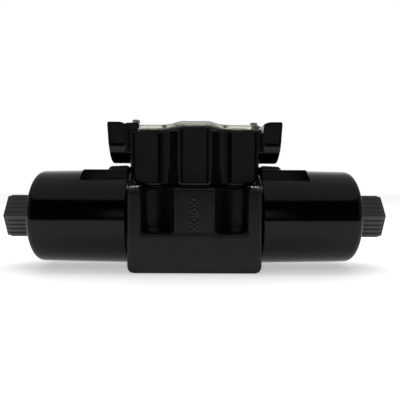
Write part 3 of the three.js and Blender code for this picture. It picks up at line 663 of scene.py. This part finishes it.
def nut_outline(shrink, ribs=1.0):
    """Hexagon with rounded ribs along its flats, drawn in from its full size by shrink."""
    flat = NUT_FLAT - shrink
    half = flat * math.tan(math.pi / 6)
    outline = []
    for side in range(6):
        angle = (side + 0.5) * math.pi / 3
        for n in range(NUT_STEPS):
            along = -half + 2 * half * n / NUT_STEPS
            phase = (along / half + 1) / 2 * RIBS_PER_FLAT % 1
            edge = min(phase, 1 - phase)
            near_corner = half - abs(along) < half / RIBS_PER_FLAT * 0.5
            groove = 0 if near_corner else np.clip((0.26 - edge) / 0.14, 0, 1)
            corner = max(0.0, abs(along) - half + 0.7) ** 2 * 0.45
            out = flat - RIB_DEPTH * ribs * groove * (2 - groove) - corner
            outline.append((out * math.cos(angle) - along * math.sin(angle),
                            out * math.sin(angle) + along * math.cos(angle)))
    return np.array(outline)


def make_nut(side, turn):
    start, end = NUT_LOW[0], NUT_HIGH[0]
    full = nut_outline(0)
    round_row = full / np.linalg.norm(full, axis=1)[:, None]
    c, s = math.cos(turn), math.sin(turn)

    def row(x, outline):
        return np.column_stack([np.full(len(outline), x), outline @ [[c, s], [-s, c]]])

    outside = [(start, 0.5, 1), (start + 0.25, 0.15, 1), (start + 0.6, 0, 1), (start + 5, 0, 1),
               (start + 10, 0, 1), (end - 3.4, 0, 1), (end - 2.9, 0.12, 1), (end - 2.6, 0.55, 0.8),
               (end - 1.2, 0.6, 0.6), (end - 0.5, 0.85, 0.3), (end, 1.6, 0)]
    stud, tube = STUD_RADIUS + NUT_CLEARANCE, TUBE_RADIUS + NUT_CLEARANCE
    inside = [(end, 8.3), (end - 0.4, 7.7), (STUD_END, 7.6), (STUD_END, stud), (STUD_START, stud),
              (STUD_START, tube), (start + 2, tube), (start + 2, 13.3), (start, 13.3)]
    rows = [row(x, nut_outline(shrink, ribs)) for x, shrink, ribs in outside]
    rows += [row(x, round_row * r) for x, r in inside]
    vertices, faces = welded_rows(rows + rows[:1])
    new_piece(f"ribbed_nut_{side}", outward(vertices, side), [f[::-1] for f in faces], "nut_plastic",
              replaces=f"lock_nut_{side}", sharp=50)


# ---- inside the solenoids

TUBE_BORE = 10.4
YOKE_RADIUS = 28.7
WINDING_START = 52.1
WINDING_END = 99.1
WINDING_INSIDE = 14.3
WINDING_OUTSIDE = 24.9
WIRES = 46
PIN_RADIUS = 2.9
PLUNGER_RADIUS = 10.22
SPRING_WIRE = 0.75
SPRING_RADIUS = 6.7
SPRING_TURNS = 5.5
SPRING_START = 33.5
SPRING_END = 49.7


def ring_profile(x, radius, wire, steps=12):
    """A closed circular section for an O-ring about the x axis."""
    angles = [2 * math.pi * i / steps for i in range(steps)]
    return [(x - wire * math.cos(a), radius + wire * math.sin(a)) for a in angles]


def winding_profile():
    """Wire layers show as fine ridges on the outside of the winding."""
    pitch = (WINDING_END - WINDING_START) / WIRES
    top = [(WINDING_START + pitch * (n + k), WINDING_OUTSIDE + 0.3 * math.sin(math.pi * k))
           for n in range(WIRES) for k in (0, 0.5)]
    end = [(WINDING_END, WINDING_OUTSIDE), (WINDING_END, WINDING_INSIDE)]
    return [(WINDING_START, WINDING_INSIDE)] + top + end


SOLENOID_PARTS = [
    # name, CAD node, look, profile of each fixed turned piece
    ("pole", "pole_piece", "steel", [
        (50, 3.3), (50, 8.3), (37.5, 8.3), (37.5, 10.4), (38.3, 11.2), (41.6, 11.2), (41.6, 9.3), (43.6, 9.3),
        (43.6, 11.2), (44.9, 11.2), (44.9, TUBE_RADIUS), (61.7, TUBE_RADIUS), (61.7, 10.1), (72, 10.1),
        (74, 8.6), (74, 3.3),
    ]),
    ("tube", "guide_tube", "steel", [
        (62, TUBE_BORE), (62, TUBE_RADIUS), (113.3, TUBE_RADIUS), (113.3, TUBE_BORE),
    ]),
    ("end_plug", "tube_end_plug", "dark_steel", [
        (113.3, 2.7), (113.3, 4.3), (107.3, 4.3), (107.3, 10.1), (113.6, 10.1), (113.6, TUBE_RADIUS),
        (115.3, TUBE_RADIUS), (115.3, STUD_RADIUS), (125.8, STUD_RADIUS), (126.6, 9.4), (126.6, 7.2),
        (129.8, 7.2), (130.4, 6.6), (130.4, 2.7),
    ]),
    ("spigot_ring", "spigot_seal", "rubber", ring_profile(42.6, 10.45, 0.75)),
    ("face_ring", "body_face_seal", "rubber", ring_profile(43.8, FACE_RING_RADIUS, 1.1)),
    ("nut_ring", "nut_seal", "rubber", ring_profile(NUT_LOW[0] + 1, 12.72, 0.5)),
    ("end_plate", "coil_end_plate", "dark_steel", [
        (45.2, COIL_BORE), (45.2, YOKE_RADIUS), (47.9, YOKE_RADIUS), (47.9, COIL_BORE),
    ]),
    ("yoke", "coil_yoke", "dark_steel", [
        (102, COIL_BORE), (102, 26.2), (49.6, 26.2), (49.6, YOKE_RADIUS), (104.7, YOKE_RADIUS),
        (104.7, COIL_BORE),
    ]),
    ("bobbin", "coil_bobbin", "black_plastic", [
        (49.8, COIL_BORE), (49.8, 25.8), (51.8, 25.8), (51.8, 14), (99.4, 14), (99.4, 25.8), (101.4, 25.8),
        (101.4, COIL_BORE),
    ]),
    ("winding", "coil_winding", "copper_winding", winding_profile()),
]
PLUNGER_GROOVES = [(x + dx, PLUNGER_RADIUS - drop) for x in (84, 97)
                   for dx, drop in ((0, 0), (0.2, 0.22), (0.8, 0.22), (1, 0))]
MOVING_PARTS = [
    # name, CAD node, body, look, profile of each moving turned piece
    ("thrust_pin", "push_pin", "push_pin_body", "steel", [
        (31.3, 0), (31.3, 2.5), (31.7, PIN_RADIUS), (77.8, PIN_RADIUS), (78.2, 2.5), (78.2, 0),
    ]),
    ("plunger", "armature", "armature_body", "dark_steel", [
        (78.5, 0), (78.5, 8.6), (80.1, PLUNGER_RADIUS), *PLUNGER_GROOVES, (102.2, PLUNGER_RADIUS), (103, 9.4),
        (103, 0),
    ]),
    ("manual_pin", "override_pin", "override_body", "brass", [
        (109.8, 0), (109.8, 4), (112.9, 4), (112.9, 2.4), (130.7, 2.4), (131.2, 1.9), (131.2, 0),
    ]),
]


def make_solenoid(side):
    for name, node, look, profile in SOLENOID_PARTS:
        soften = 0 if "ring" in name or name == "winding" else 0.25
        turned_piece(name, side, profile, look, soften, replaces=f"{node}_{side}")
    for name, node, body, look, profile in MOVING_PARTS:
        turned_piece(name, side, profile, look, body=f"{body}_{side}", replaces=f"{node}_{side}")
    seat = [(31.3, 3.2), (31.3, 9.5), (33.2, 9.5), (33.2, 5.4), (34.4, 5.4), (34.4, 3.2)]
    turned_piece("seat_cup", side, seat, "steel", body="spool_unit", replaces=f"spring_seat_{side}")
    make_spring(side)
    make_lead_plug(side)


def make_spring(side):
    """Round wire wound in five and a half turns, closer at both ends."""
    start, end, steps = SPRING_START + SPRING_WIRE, SPRING_END - SPRING_WIRE, 200
    rows = []
    for share in np.linspace(0, 1, steps):
        angle = 2 * math.pi * SPRING_TURNS * share
        out = np.array([0, math.cos(angle), math.sin(angle)])
        x = start + (end - start) * (share - 0.09 * math.sin(2 * math.pi * share))
        rows.append([np.array([x, 0, 0]) + SPRING_RADIUS * out + v * out + (u, 0, 0)
                     for _, v, u in circle(0, SPRING_WIRE, 10)])
    points = outward(np.concatenate(rows), side)
    spring = new_piece(f"wire_spring_{side}", points, capped_rows(rows), "spring_steel", body=None,
                       replaces=f"centring_spring_{side}")
    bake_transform(spring)


def rounded_block(name, low, high, radius, look, replaces=None):
    """A block with rounded edges, as a bevelled box mesh."""
    mesh = bmesh.new()
    bmesh.ops.create_cube(mesh, size=1)
    low, high = np.array(low, float), np.array(high, float)
    for v in mesh.verts:
        v.co = Vector(low + (np.array(v.co) + 0.5) * (high - low))
    bmesh.ops.bevel(mesh, geom=mesh.edges[:], offset=radius, segments=3, profile=0.5, affect="EDGES")
    vertices = [tuple(v.co) for v in mesh.verts]
    faces = [tuple(v.index for v in f.verts) for f in mesh.faces]
    mesh.free()
    new_piece(name, vertices, faces, look, replaces=replaces, sharp=35)


def make_lead_plug(side):
    low, high = box_mm(f"lead_plug_{side}")
    inner, outer = sorted(x * SIGNS[side] for x in (PLUG_SEAT + 0.3, BOX_HALF + 0.3))
    rounded_block(f"lead_seal_{side}", (inner, *low[1:]), (outer, *high[1:]), 0.6, "rubber",
                  f"lead_plug_{side}")


def make_spool():
    land, waist, end = 7.9, 5.0, 31

    def grooves(*places):
        section = ((0, 0), (0.15, 0.35), (0.45, 0.35), (0.6, 0))
        return [(x + dx, land - drop) for x in places for dx, drop in section]

    half = [(4.9, waist), (4.9, land)] + grooves(7.5, 9.5, 11.5, 13.5)
    half += [(15.7, land), (15.7, waist), (22, waist), (22, land)] + grooves(24.5, 27)
    half += [(end - 0.6, land), (end, land - 0.6), (end, 0)]
    vertices, faces = turned_mesh([(-x, r) for x, r in half[::-1]] + half, 72, 0.08)
    new_piece("spool_lands", vertices + (0, 0, AXIS_Z), faces, "steel", body="spool_unit",
              replaces="spool", sharp=32)


def make_port_seals():
    vertices, faces = turned_mesh(ring_profile(0, 6.4, 0.65), 48, 0)
    for name, place in PORTS.items():
        new_piece(f"port_ring_{name}", stood_up(vertices, (*place, 0.75)), faces, "rubber",
                  replaces=f"port_seal_{name}")


# ---- terminal box

BOX_BOTTOM = 56.4
BOX_RIM = 93.3
BOX_HALF = 44.3
BOX_DEPTH = 17.5
SWEEP = 13.0
CORE_DEPTH = 14.0
CORE_FOOT = 9.5
CORE_TOP = 79.0
BULGE_HALF = 9.8
BULGE_DEPTH = 33.5
BULGE_FLANK = math.pi / 3
BULGE_FILLET = 12.0
WALL = 3.0
BAND_INSIDE = 38.2
BAND_OUTSIDE = 47.4
BAND_DEPTH = 15.0
BAND_BOTTOM = 78.7
LIP_TOP = 99.8
CONDUIT_RADIUS = 14.0
CONDUIT_TOP = 100.6
CONDUIT_END = 60.5
CONDUIT_AXIS = 86.0
TONGUE_HALF = 13.5
TONGUE_END = -46.0
LID_GAP = 0.3
COVER_LEFT = -37.9
TONGUE_TOP = 96.4
COVER_SCREW = (40.7, -10.0)
SCREW_BOSS_RADIUS = 3.6
SCREW_BOSS_BOTTOM = 80.0
LEAD_HOLE_Z = 67.9
PLUG_SEAT = 42.5
EARTH_SCREW_Y = -24.0
GASKET_BLOCKS = ((31, 14.5), (40, 9), (10, 31))
CONDUIT_BORES = ((12.3, 58.8), (10.5, 48.0), (6.5, 38.0))
THREAD_PITCH = 1.814
THREAD_START = 48.3
THREAD_END = 58.5
THREAD_RADIUS = 10.4
THREAD_DEPTH = 0.85


def plan_field(x, y, inset):
    """The box seen from above: a rectangle with a flat bulge, front and back, on large fillets."""
    ax, ay = np.abs(x), np.abs(y)
    sine, cosine = math.sin(BULGE_FLANK), math.cos(BULGE_FLANK)
    lobes = smooth_max(ax - BOX_HALF, ay - BOX_DEPTH, 4)
    flank = (ax - BULGE_HALF) * sine + (ay - BULGE_DEPTH) * cosine
    bulge = smooth_max(flank, ay - BULGE_DEPTH, 2.4)
    rise = BULGE_DEPTH - BOX_DEPTH - BULGE_FILLET * (1 - cosine)
    dx = ax - BULGE_HALF - rise * cosine / sine - BULGE_FILLET * sine
    dy = ay - BOX_DEPTH - BULGE_FILLET
    corner = both(both(dx, dy * sine - dx * cosine), BULGE_FILLET - np.hypot(dx, dy))
    return either(either(lobes, bulge), corner) + inset


def sweep_field(x, z, inset):
    """The front view's outline: large radii at both lower corners."""
    qx = np.abs(x) - (BOX_HALF - SWEEP)
    qz = (BOX_BOTTOM + SWEEP) - z
    corner = np.hypot(np.clip(qx, 0, None), np.clip(qz, 0, None)) - SWEEP
    return both(corner, both(qx, qz) - SWEEP) + inset


def conduit_field(x, y, z):
    """Both conduit bosses: square above, round below, with a drafted end."""
    ax = np.abs(x)
    centre = CONDUIT_TOP - CONDUIT_RADIUS
    arch = np.where(z < centre, np.hypot(y, z - centre), np.abs(y)) - CONDUIT_RADIUS
    boss = smooth_max(arch, z - CONDUIT_TOP, 1.4)
    face = ax - CONDUIT_END + (CONDUIT_TOP - z) * 0.068
    boss = smooth_max(boss, face, 1.4)
    slope = ((z - CONDUIT_TOP) + (BAND_OUTSIDE + 2.6 - ax) * 0.62) / 1.17
    boss = smooth_max(boss, slope, 1.5)
    start = np.where(z < BAND_BOTTOM + 1, BOX_HALF - 1, BAND_OUTSIDE - 3)
    return both(boss, start - ax)


def box_field(x, y, z):
    ax = np.abs(x)
    shell = smooth_max(plan_field(x, y, 0), sweep_field(x, z, 0), 2.0)
    shell = smooth_max(shell, z - BOX_RIM, 1.0)
    low, high = (BAND_INSIDE, -BAND_DEPTH, BAND_BOTTOM), (BAND_OUTSIDE, BAND_DEPTH)
    bands = either(block_field(x, y, z, low, (*high, BOX_RIM), 1.2),
                   block_field(-x, y, z, low, (*high, LIP_TOP), 1.0))
    low, high = (BOX_HALF - 11, -CORE_DEPTH, BOX_BOTTOM), (BOX_HALF, CORE_DEPTH, CORE_TOP)
    core = block_field(ax, y, z, low, high, 0.8)
    lean = (CORE_DEPTH - CORE_FOOT) / (CORE_TOP - BOX_BOTTOM)
    core = both(core, np.abs(y) - CORE_FOOT - lean * (z - BOX_BOTTOM))
    solid = smooth_min(smooth_min(shell, bands, 1.6), core, 1.2)
    solid = smooth_min(solid, conduit_field(x, y, z), 1.0)
    cavity = both(smooth_max(plan_field(x, y, WALL), sweep_field(x, z, WALL), 2.0), z - BOX_RIM - 3)
    solid = cut(solid, cavity, 0.8)
    from_screw = np.hypot(ax - COVER_SCREW[0], y - COVER_SCREW[1])
    boss = both(from_screw - SCREW_BOSS_RADIUS, slab(z, SCREW_BOSS_BOTTOM, BOX_RIM))
    solid = smooth_min(solid, boss, 0.8)
    step = both(slab(x, BAND_OUTSIDE - 2, BAND_OUTSIDE), BOX_RIM - z)
    solid = cut(solid, step, 0.5)
    half, top = TONGUE_HALF + LID_GAP, TONGUE_TOP + LID_GAP
    slot = block_field(x, y, z, (TONGUE_END - LID_GAP, -half, BOX_RIM), (-37.2, half, top))
    solid = cut(solid, slot, 0.4)
    radius = np.hypot(y, z - CONDUIT_AXIS)
    bore = either.reduce([both(radius - size, start - ax) for size, start in CONDUIT_BORES])
    lead = both(np.hypot(y, z - LEAD_HOLE_Z) - 2.5, 34 - ax)
    lead = either(lead, block_field(ax, y, z, (PLUG_SEAT, -6.3, 65.6), (BOX_HALF + 2, 6.3, 70.1), 0.3))
    solid = cut(cut(solid, bore, 0.8), lead, 0.4)
    screws = both(from_screw - 2, 82 - z)
    screws = either(screws, both(np.hypot(ax - BOX_SCREW_X, y) - 2.2, z - 62))
    earth = both(np.hypot(x, y - EARTH_SCREW_Y) - 2, 57 - z)
    return cut(solid, either(screws, earth), 0.5)


def make_terminal_box():
    cast_piece("terminal_housing", box_field, BOX_LOW, BOX_HIGH, 0.85, "gloss_black", replaces="terminal_box")
    for side in SIGNS:
        make_conduit_thread(side)


def make_conduit_thread(side):
    """Parallel pipe thread cut into the conduit boss, 14 turns to the inch."""
    segments, samples = 48, 8
    count = int((THREAD_END - THREAD_START) / THREAD_PITCH * samples)
    rows = []
    for i in range(count + 1):
        x = THREAD_START + (THREAD_END - THREAD_START) * i / count
        fade = min(1, i / samples, (count - i) / samples)
        row = []
        for k, (_, c, s) in enumerate(circle(0, 1, segments)):
            crest = 0.5 - 0.5 * math.cos(2 * math.pi * (i / samples - k / segments))
            radius = THREAD_RADIUS - THREAD_DEPTH * crest * fade
            row.append((x, radius * c, radius * s))
        rows.append(row)
    rows += [circle(x, THREAD_RADIUS + 0.06, segments) for x in (THREAD_END, THREAD_START)]
    vertices, faces = welded_rows(rows + rows[:1])
    new_piece(f"conduit_thread_{side}", outward(vertices, side, CONDUIT_AXIS), [f[::-1] for f in faces],
              "gloss_black", sharp=50)


def cover_outline(x, y, inset):
    """The cover seen from above: the box outline, cut off at the left lip, with a screw ear on the right."""
    ear = both(np.abs(y) - BAND_DEPTH + inset, x - COVER_HIGH[0] + inset)
    outline = smooth_min(plan_field(x, y, inset), both(ear, 30 - x), 1.5)
    return smooth_max(outline, x - COVER_HIGH[0] + inset, 1.5)


def cover_field(x, y, z):
    low, high = COVER_LOW[2], COVER_HIGH[2]
    outline = both(cover_outline(x, y, 0), COVER_LEFT - x)
    plate = smooth_max(smooth_max(outline, z - high, 1.6), low - z, 0.8)
    tongue = block_field(x, y, z, (TONGUE_END, -TONGUE_HALF, low), (-36, TONGUE_HALF, TONGUE_TOP), 0.4)
    hollow = both(both(plan_field(x, y, 5), slab(x, -36, 36)), z - high + 1.7)
    plate = cut(either(plate, tongue), hollow, 0.8)
    holes = np.hypot(np.abs(x) - COVER_SCREW[0], y - COVER_SCREW[1]) - 2
    return cut(plate, holes, 0.4)


def cover_gasket_field(x, y, z):
    ring = both(both(cover_outline(x, y, 0.5), COVER_LEFT + 0.3 - x), -plan_field(x, y, 2.6))
    ring = smooth_max(ring, slab(z, BOX_RIM + 0.1, COVER_LOW[2] - 0.1), 0.5)
    return both(ring, 2.2 - np.hypot(x - COVER_SCREW[0], y - COVER_SCREW[1]))


def box_gasket_field(x, y, z):
    """A plate with wings on all four sides, so that no light shows between body and box."""
    ax, ay = np.abs(x), np.abs(y)
    sheet = either.reduce([both(ax - half_x, ay - half_y) for half_x, half_y in GASKET_BLOCKS])
    sheet = smooth_max(sheet, slab(z, BODY_HIGH[2] + 0.1, BOX_BOTTOM - 0.1), 0.4)
    return both(sheet, 2.2 - np.hypot(ax - BOX_SCREW_X, y))


def make_cover():
    cast_piece("clear_lid", cover_field, COVER_LOW, COVER_HIGH, 0.7, "clear_cover", replaces="cover")
    for name, field, node in (("lid_gasket", cover_gasket_field, "cover_gasket"),
                              ("foot_gasket", box_gasket_field, "box_gasket")):
        cast_piece(name, field, *box_mm(node), 0.4, "rubber", replaces=node)


# ---- screws and small parts

SCREW_STEPS = 36
SCREW_PITCH = 0.7
TERMINAL_XS = [-16.25 + n * 6.5 for n in range(6)]
TERMINAL_Y = 5.6


def star_row(x, flat, corner, lobes):
    """A closed row around the x axis between a flat radius and a corner radius."""
    row = []
    for k, (_, c, s) in enumerate(circle(0, 1, SCREW_STEPS)):
        radius = flat + (corner - flat) * (0.5 + 0.5 * math.cos(lobes * 2 * math.pi * k / SCREW_STEPS))
        row.append((x, radius * c, radius * s))
    return row


def screw_rows(head, height, shank, length, kind):
    """A cheese-head screw along +x, its head resting at x = 0, driven by a hexagon or a cross."""
    ends = [(-length, 0.01), (-length, shank - 0.5), (-length + 0.5, shank)]
    for n in range(int((length - 2) / SCREW_PITCH)):
        base = -length + 0.6 + n * SCREW_PITCH
        ends += [(base + 0.15, shank), (base + 0.35, shank - 0.3), (base + 0.55, shank)]
    ends += [(-0.6, shank), (0, shank), (0, head - 0.15), (0.15, head)]
    if kind == "hexagon":
        ends += [(height - 0.35, head), (height, head - 0.35)]
        socket = [(1, 0, 0.50, 0.56), (1, 0.25, 0.44, 0.50), (0.35, 0, 0.44, 0.50)]
        floor, lobes = 0.25, 6
    else:
        ends += [(height * 0.55, head), (height * 0.85, head * 0.8), (height, head * 0.5)]
        socket = [(1, 0, 0.14, 0.42), (0.9, 0, 0.14, 0.38), (0.4, 0, 0.14, 0.2)]
        floor, lobes = 0.35, 4
    rows = [circle(x, radius, SCREW_STEPS) for x, radius in ends]
    rows += [star_row(height * up - down, head * flat, head * corner, lobes)
             for up, down, flat, corner in socket]
    return rows + [circle(height * floor, 0.01, SCREW_STEPS)]


def make_screw(name, place, head, height, shank, length, kind, look, replaces=None):
    rows = screw_rows(head, height, shank, length, kind)
    new_piece(name, stood_up(np.concatenate(rows), place), [f[::-1] for f in capped_rows(rows)], look,
              replaces=replaces, sharp=32)


def make_screws():
    x, y = COVER_SCREW
    for name, sign, seat in (("left", -1, LIP_TOP), ("right", 1, COVER_HIGH[2])):
        make_screw(f"lid_screw_{name}", (x * sign, y, seat + 0.1), 2.75, 2.2, 1.5, seat - 83, "hexagon",
                   "screw_steel", f"cover_screw_{name}")
    floor = BOX_BOTTOM + WALL + 0.1
    for side, sign in SIGNS.items():
        make_screw(f"foot_screw_{side}", (BOX_SCREW_X * sign, 0, floor), 3.8, 2.8, 1.6, 10.2, "cross",
                   "screw_steel", f"box_screw_{side}")
    make_screw("ground_screw", (0, EARTH_SCREW_Y, floor), 3.2, 2.2, 1.5, 2, "cross", "brass", "earth_screw")


def terminal_field(x, y, z):
    low, high = box_mm("terminal_block")
    ay, up = np.abs(y), z - low[2]
    solid = block_field(x, y, z, low, (high[0], high[1], low[2] + 8), 0.6)
    solid = smooth_min(solid, block_field(x, y, z, (low[0], -3, low[2]), (high[0], 3, high[2]), 0.6), 0.6)
    for px in TERMINAL_XS:
        well = both(np.hypot(x - px, ay - TERMINAL_Y) - 2.1, 4.6 - up)
        mouth = both(both(np.abs(x - px) - 1.9, 2 - up), both(6.4 - ay, up - 5))
        solid = cut(solid, either(well, mouth), 0.4)
    return solid


def make_terminals():
    low, high = box_mm("terminal_block")
    cast_piece("terminal_strip", terminal_field, low, high, 0.5, "pale_plastic", replaces="terminal_block")
    for n, x in enumerate(TERMINAL_XS):
        for row, y in (("front", -TERMINAL_Y), ("back", TERMINAL_Y)):
            make_screw(f"terminal_screw_{row}_{n}", (x, y, low[2] + 5.6), 1.8, 1.3, 1.1, 1, "cross",
                       "screw_steel")


def make_board():
    low, high = box_mm("indicator_board")
    rounded_block("lamp_board", low, high, 0.25, "board", "indicator_board")
    for side, sign in SIGNS.items():
        lamp_low, lamp_high = box_mm(f"indicator_lamp_{side}")
        x, y = (lamp_low[:2] + lamp_high[:2]) / 2
        radius = (lamp_high[0] - lamp_low[0]) / 2
        inner = radius - 0.3
        dome = [(0, 0), (0, radius), (1, radius), (1, inner), (4.2, inner)]
        dome += [(4.2 + 2.4 * math.sin(a), inner * math.cos(a)) for a in np.linspace(0.2, 1.4, 7)]
        vertices, faces = turned_mesh(dome + [(6.6, 0)], 40, 0.05)
        new_piece(f"lamp_{side}", stood_up(vertices, (x, y, lamp_low[2])), faces, "lamp",
                  replaces=f"indicator_lamp_{side}", sharp=40)
        for n in range(2):
            start = np.array([sign * (5 + 5.5 * n) - 1.6, 2.5, high[2] + 0.05])
            rounded_block(f"resistor_{side}_{n}", start, start + (3.2, 2.7, 1.25), 0.4, "black_plastic")


def plate_field(x, y, z):
    """The nameplate, with a raised border and five plain rules where its text would be."""
    low, high = box_mm("nameplate")
    ax, up, depth = np.abs(x), z - (low[2] + high[2]) / 2, slab(y, low[1], high[1])
    plate = block_field(x, y, z, low, high - np.array([0, 0.15, 0]), 0.15)
    raised = np.abs(both(ax - 8.4, np.abs(up) - 11.9)) - 0.25
    for n in range(5):
        raised = either(raised, both(ax - 6.5, np.abs(up - 7.2 + 3.6 * n) - 0.22))
    return smooth_min(plate, both(raised, depth), 0.15)


def make_nameplate():
    low, high = box_mm("nameplate")
    cast_piece("blank_plate", plate_field, low, high, 0.25, "plate_aluminium", replaces="nameplate")


# ---- studio

WHITE_BACK = 1.0
GREY_CEILING = 0.6
DIM_PANEL = 0.45
DIM_SIDES = 0.3
TABLE_FRONT = -0.26
TABLE_BACK = 6.0
TABLE_HALF = 5.0
LAMP_PLACE = (0, 0.25, 0.9)
LAMP_TARGET = (0, 0, 0.05)
LAMP_SIZE = (1.6, 0.6)
LAMP_POWER = 6


def make_floor():
    """A pale table that glows a little, so that it runs into the white behind without a line."""
    corners = [(-TABLE_HALF, TABLE_FRONT, 0), (TABLE_HALF, TABLE_FRONT, 0),
               (TABLE_HALF, TABLE_BACK, 0), (-TABLE_HALF, TABLE_BACK, 0)]
    mesh = bpy.data.meshes.new("studio_floor")
    mesh.from_pydata(corners, [], [(0, 1, 2, 3)])
    s = Shader("studio_floor", (0.86, 0.86, 0.86), 0.6, Emission_Color=(1, 1, 1, 1), Emission_Strength=0.45)
    s.roughen(s.noise(30, 3), 0.55, 0.7)
    mesh.materials.append(s.material)
    new_object("studio_floor", mesh)


def make_lamp():
    """One wide soft lamp above, which isn't itself mirrored in the valve."""
    light = bpy.data.lights.new("overhead", "AREA")
    light.shape = "RECTANGLE"
    light.size, light.size_y = LAMP_SIZE
    light.energy = LAMP_POWER
    lamp = new_object("overhead", light)
    lamp.location = LAMP_PLACE
    lamp.rotation_euler = (Vector(LAMP_TARGET) - Vector(LAMP_PLACE)).to_track_quat("-Z", "Y").to_euler()
    lamp.visible_glossy = False


def make_world():
    """What the valve mirrors: white behind, grey above, dim sides, a dark front with one dim panel.

    The background itself is plain white from every side.
    """
    world = bpy.data.worlds.new("studio")
    bpy.context.scene.world = world
    world.use_nodes = True
    tree = world.node_tree
    place = tree.nodes.new("ShaderNodeTexCoord")
    split = tree.nodes.new("ShaderNodeSeparateXYZ")
    tree.links.new(place.outputs["Generated"], split.inputs[0])

    def ramp(axis, start, end, low, high):
        return map_range(tree, split.outputs[axis], start, end, low, high)

    def combine(operation, first, second):
        node = tree.nodes.new("ShaderNodeMath")
        node.operation = operation
        tree.links.new(first, node.inputs[0])
        tree.links.new(second, node.inputs[1])
        return node.outputs["Value"]

    backdrop = ramp("Y", 0.42, 0.8, 0, WHITE_BACK)
    ceiling = ramp("Z", 0.62, 0.68, 0, GREY_CEILING)
    sides = combine("MAXIMUM", ramp("X", -0.85, -0.5, DIM_SIDES, 0), ramp("X", 0.5, 0.85, 0, DIM_SIDES))
    across = combine("MULTIPLY", ramp("X", -0.25, -0.22, 0, 1), ramp("X", 0.22, 0.25, 1, 0))
    upright = combine("MULTIPLY", ramp("Z", -0.02, 0.01, 0, 1), ramp("Z", 0.18, 0.34, 1, 0))
    panel = combine("MULTIPLY", combine("MULTIPLY", across, upright), ramp("Y", -0.5, -0.4, DIM_PANEL, 0))
    light = combine("MAXIMUM", combine("MAXIMUM", backdrop, ceiling), combine("MAXIMUM", panel, sides))
    seen = tree.nodes.new("ShaderNodeLightPath").outputs["Is Camera Ray"]
    tree.links.new(combine("MAXIMUM", light, seen), tree.nodes["Background"].inputs["Color"])


CAMERA_LENS = 37.95
CAMERA_DISTANCE = 0.304
CAMERA_HEIGHT = 0.0535
CAMERA_PITCH = math.radians(1.32)
CAMERA_ROLL = math.radians(0.22)
CAMERA_SHIFT = 0.0135


def make_camera():
    data = bpy.data.cameras.new("camera")
    data.lens = CAMERA_LENS
    data.sensor_width = 36
    data.shift_x = CAMERA_SHIFT
    data.clip_start = 0.01
    camera = new_object("camera", data)
    camera.location = (0, -CAMERA_DISTANCE, CAMERA_HEIGHT)
    camera.rotation_euler = (math.pi / 2 - CAMERA_PITCH, 0, 0)
    camera.rotation_euler.rotate_axis("Z", CAMERA_ROLL)
    bpy.context.scene.camera = camera


make_camera()
make_body()
make_port_seals()
make_spool()
for solenoid, nut_turn in (("a", 2.6), ("b", -4.6)):
    make_coil(solenoid)
    make_nut(solenoid, math.radians(nut_turn))
    make_solenoid(solenoid)
make_terminal_box()
make_cover()
make_screws()
make_terminals()
make_board()
make_nameplate()
make_floor()
make_world()
make_lamp()
bpy.context.scene.view_settings.view_transform = "Standard"
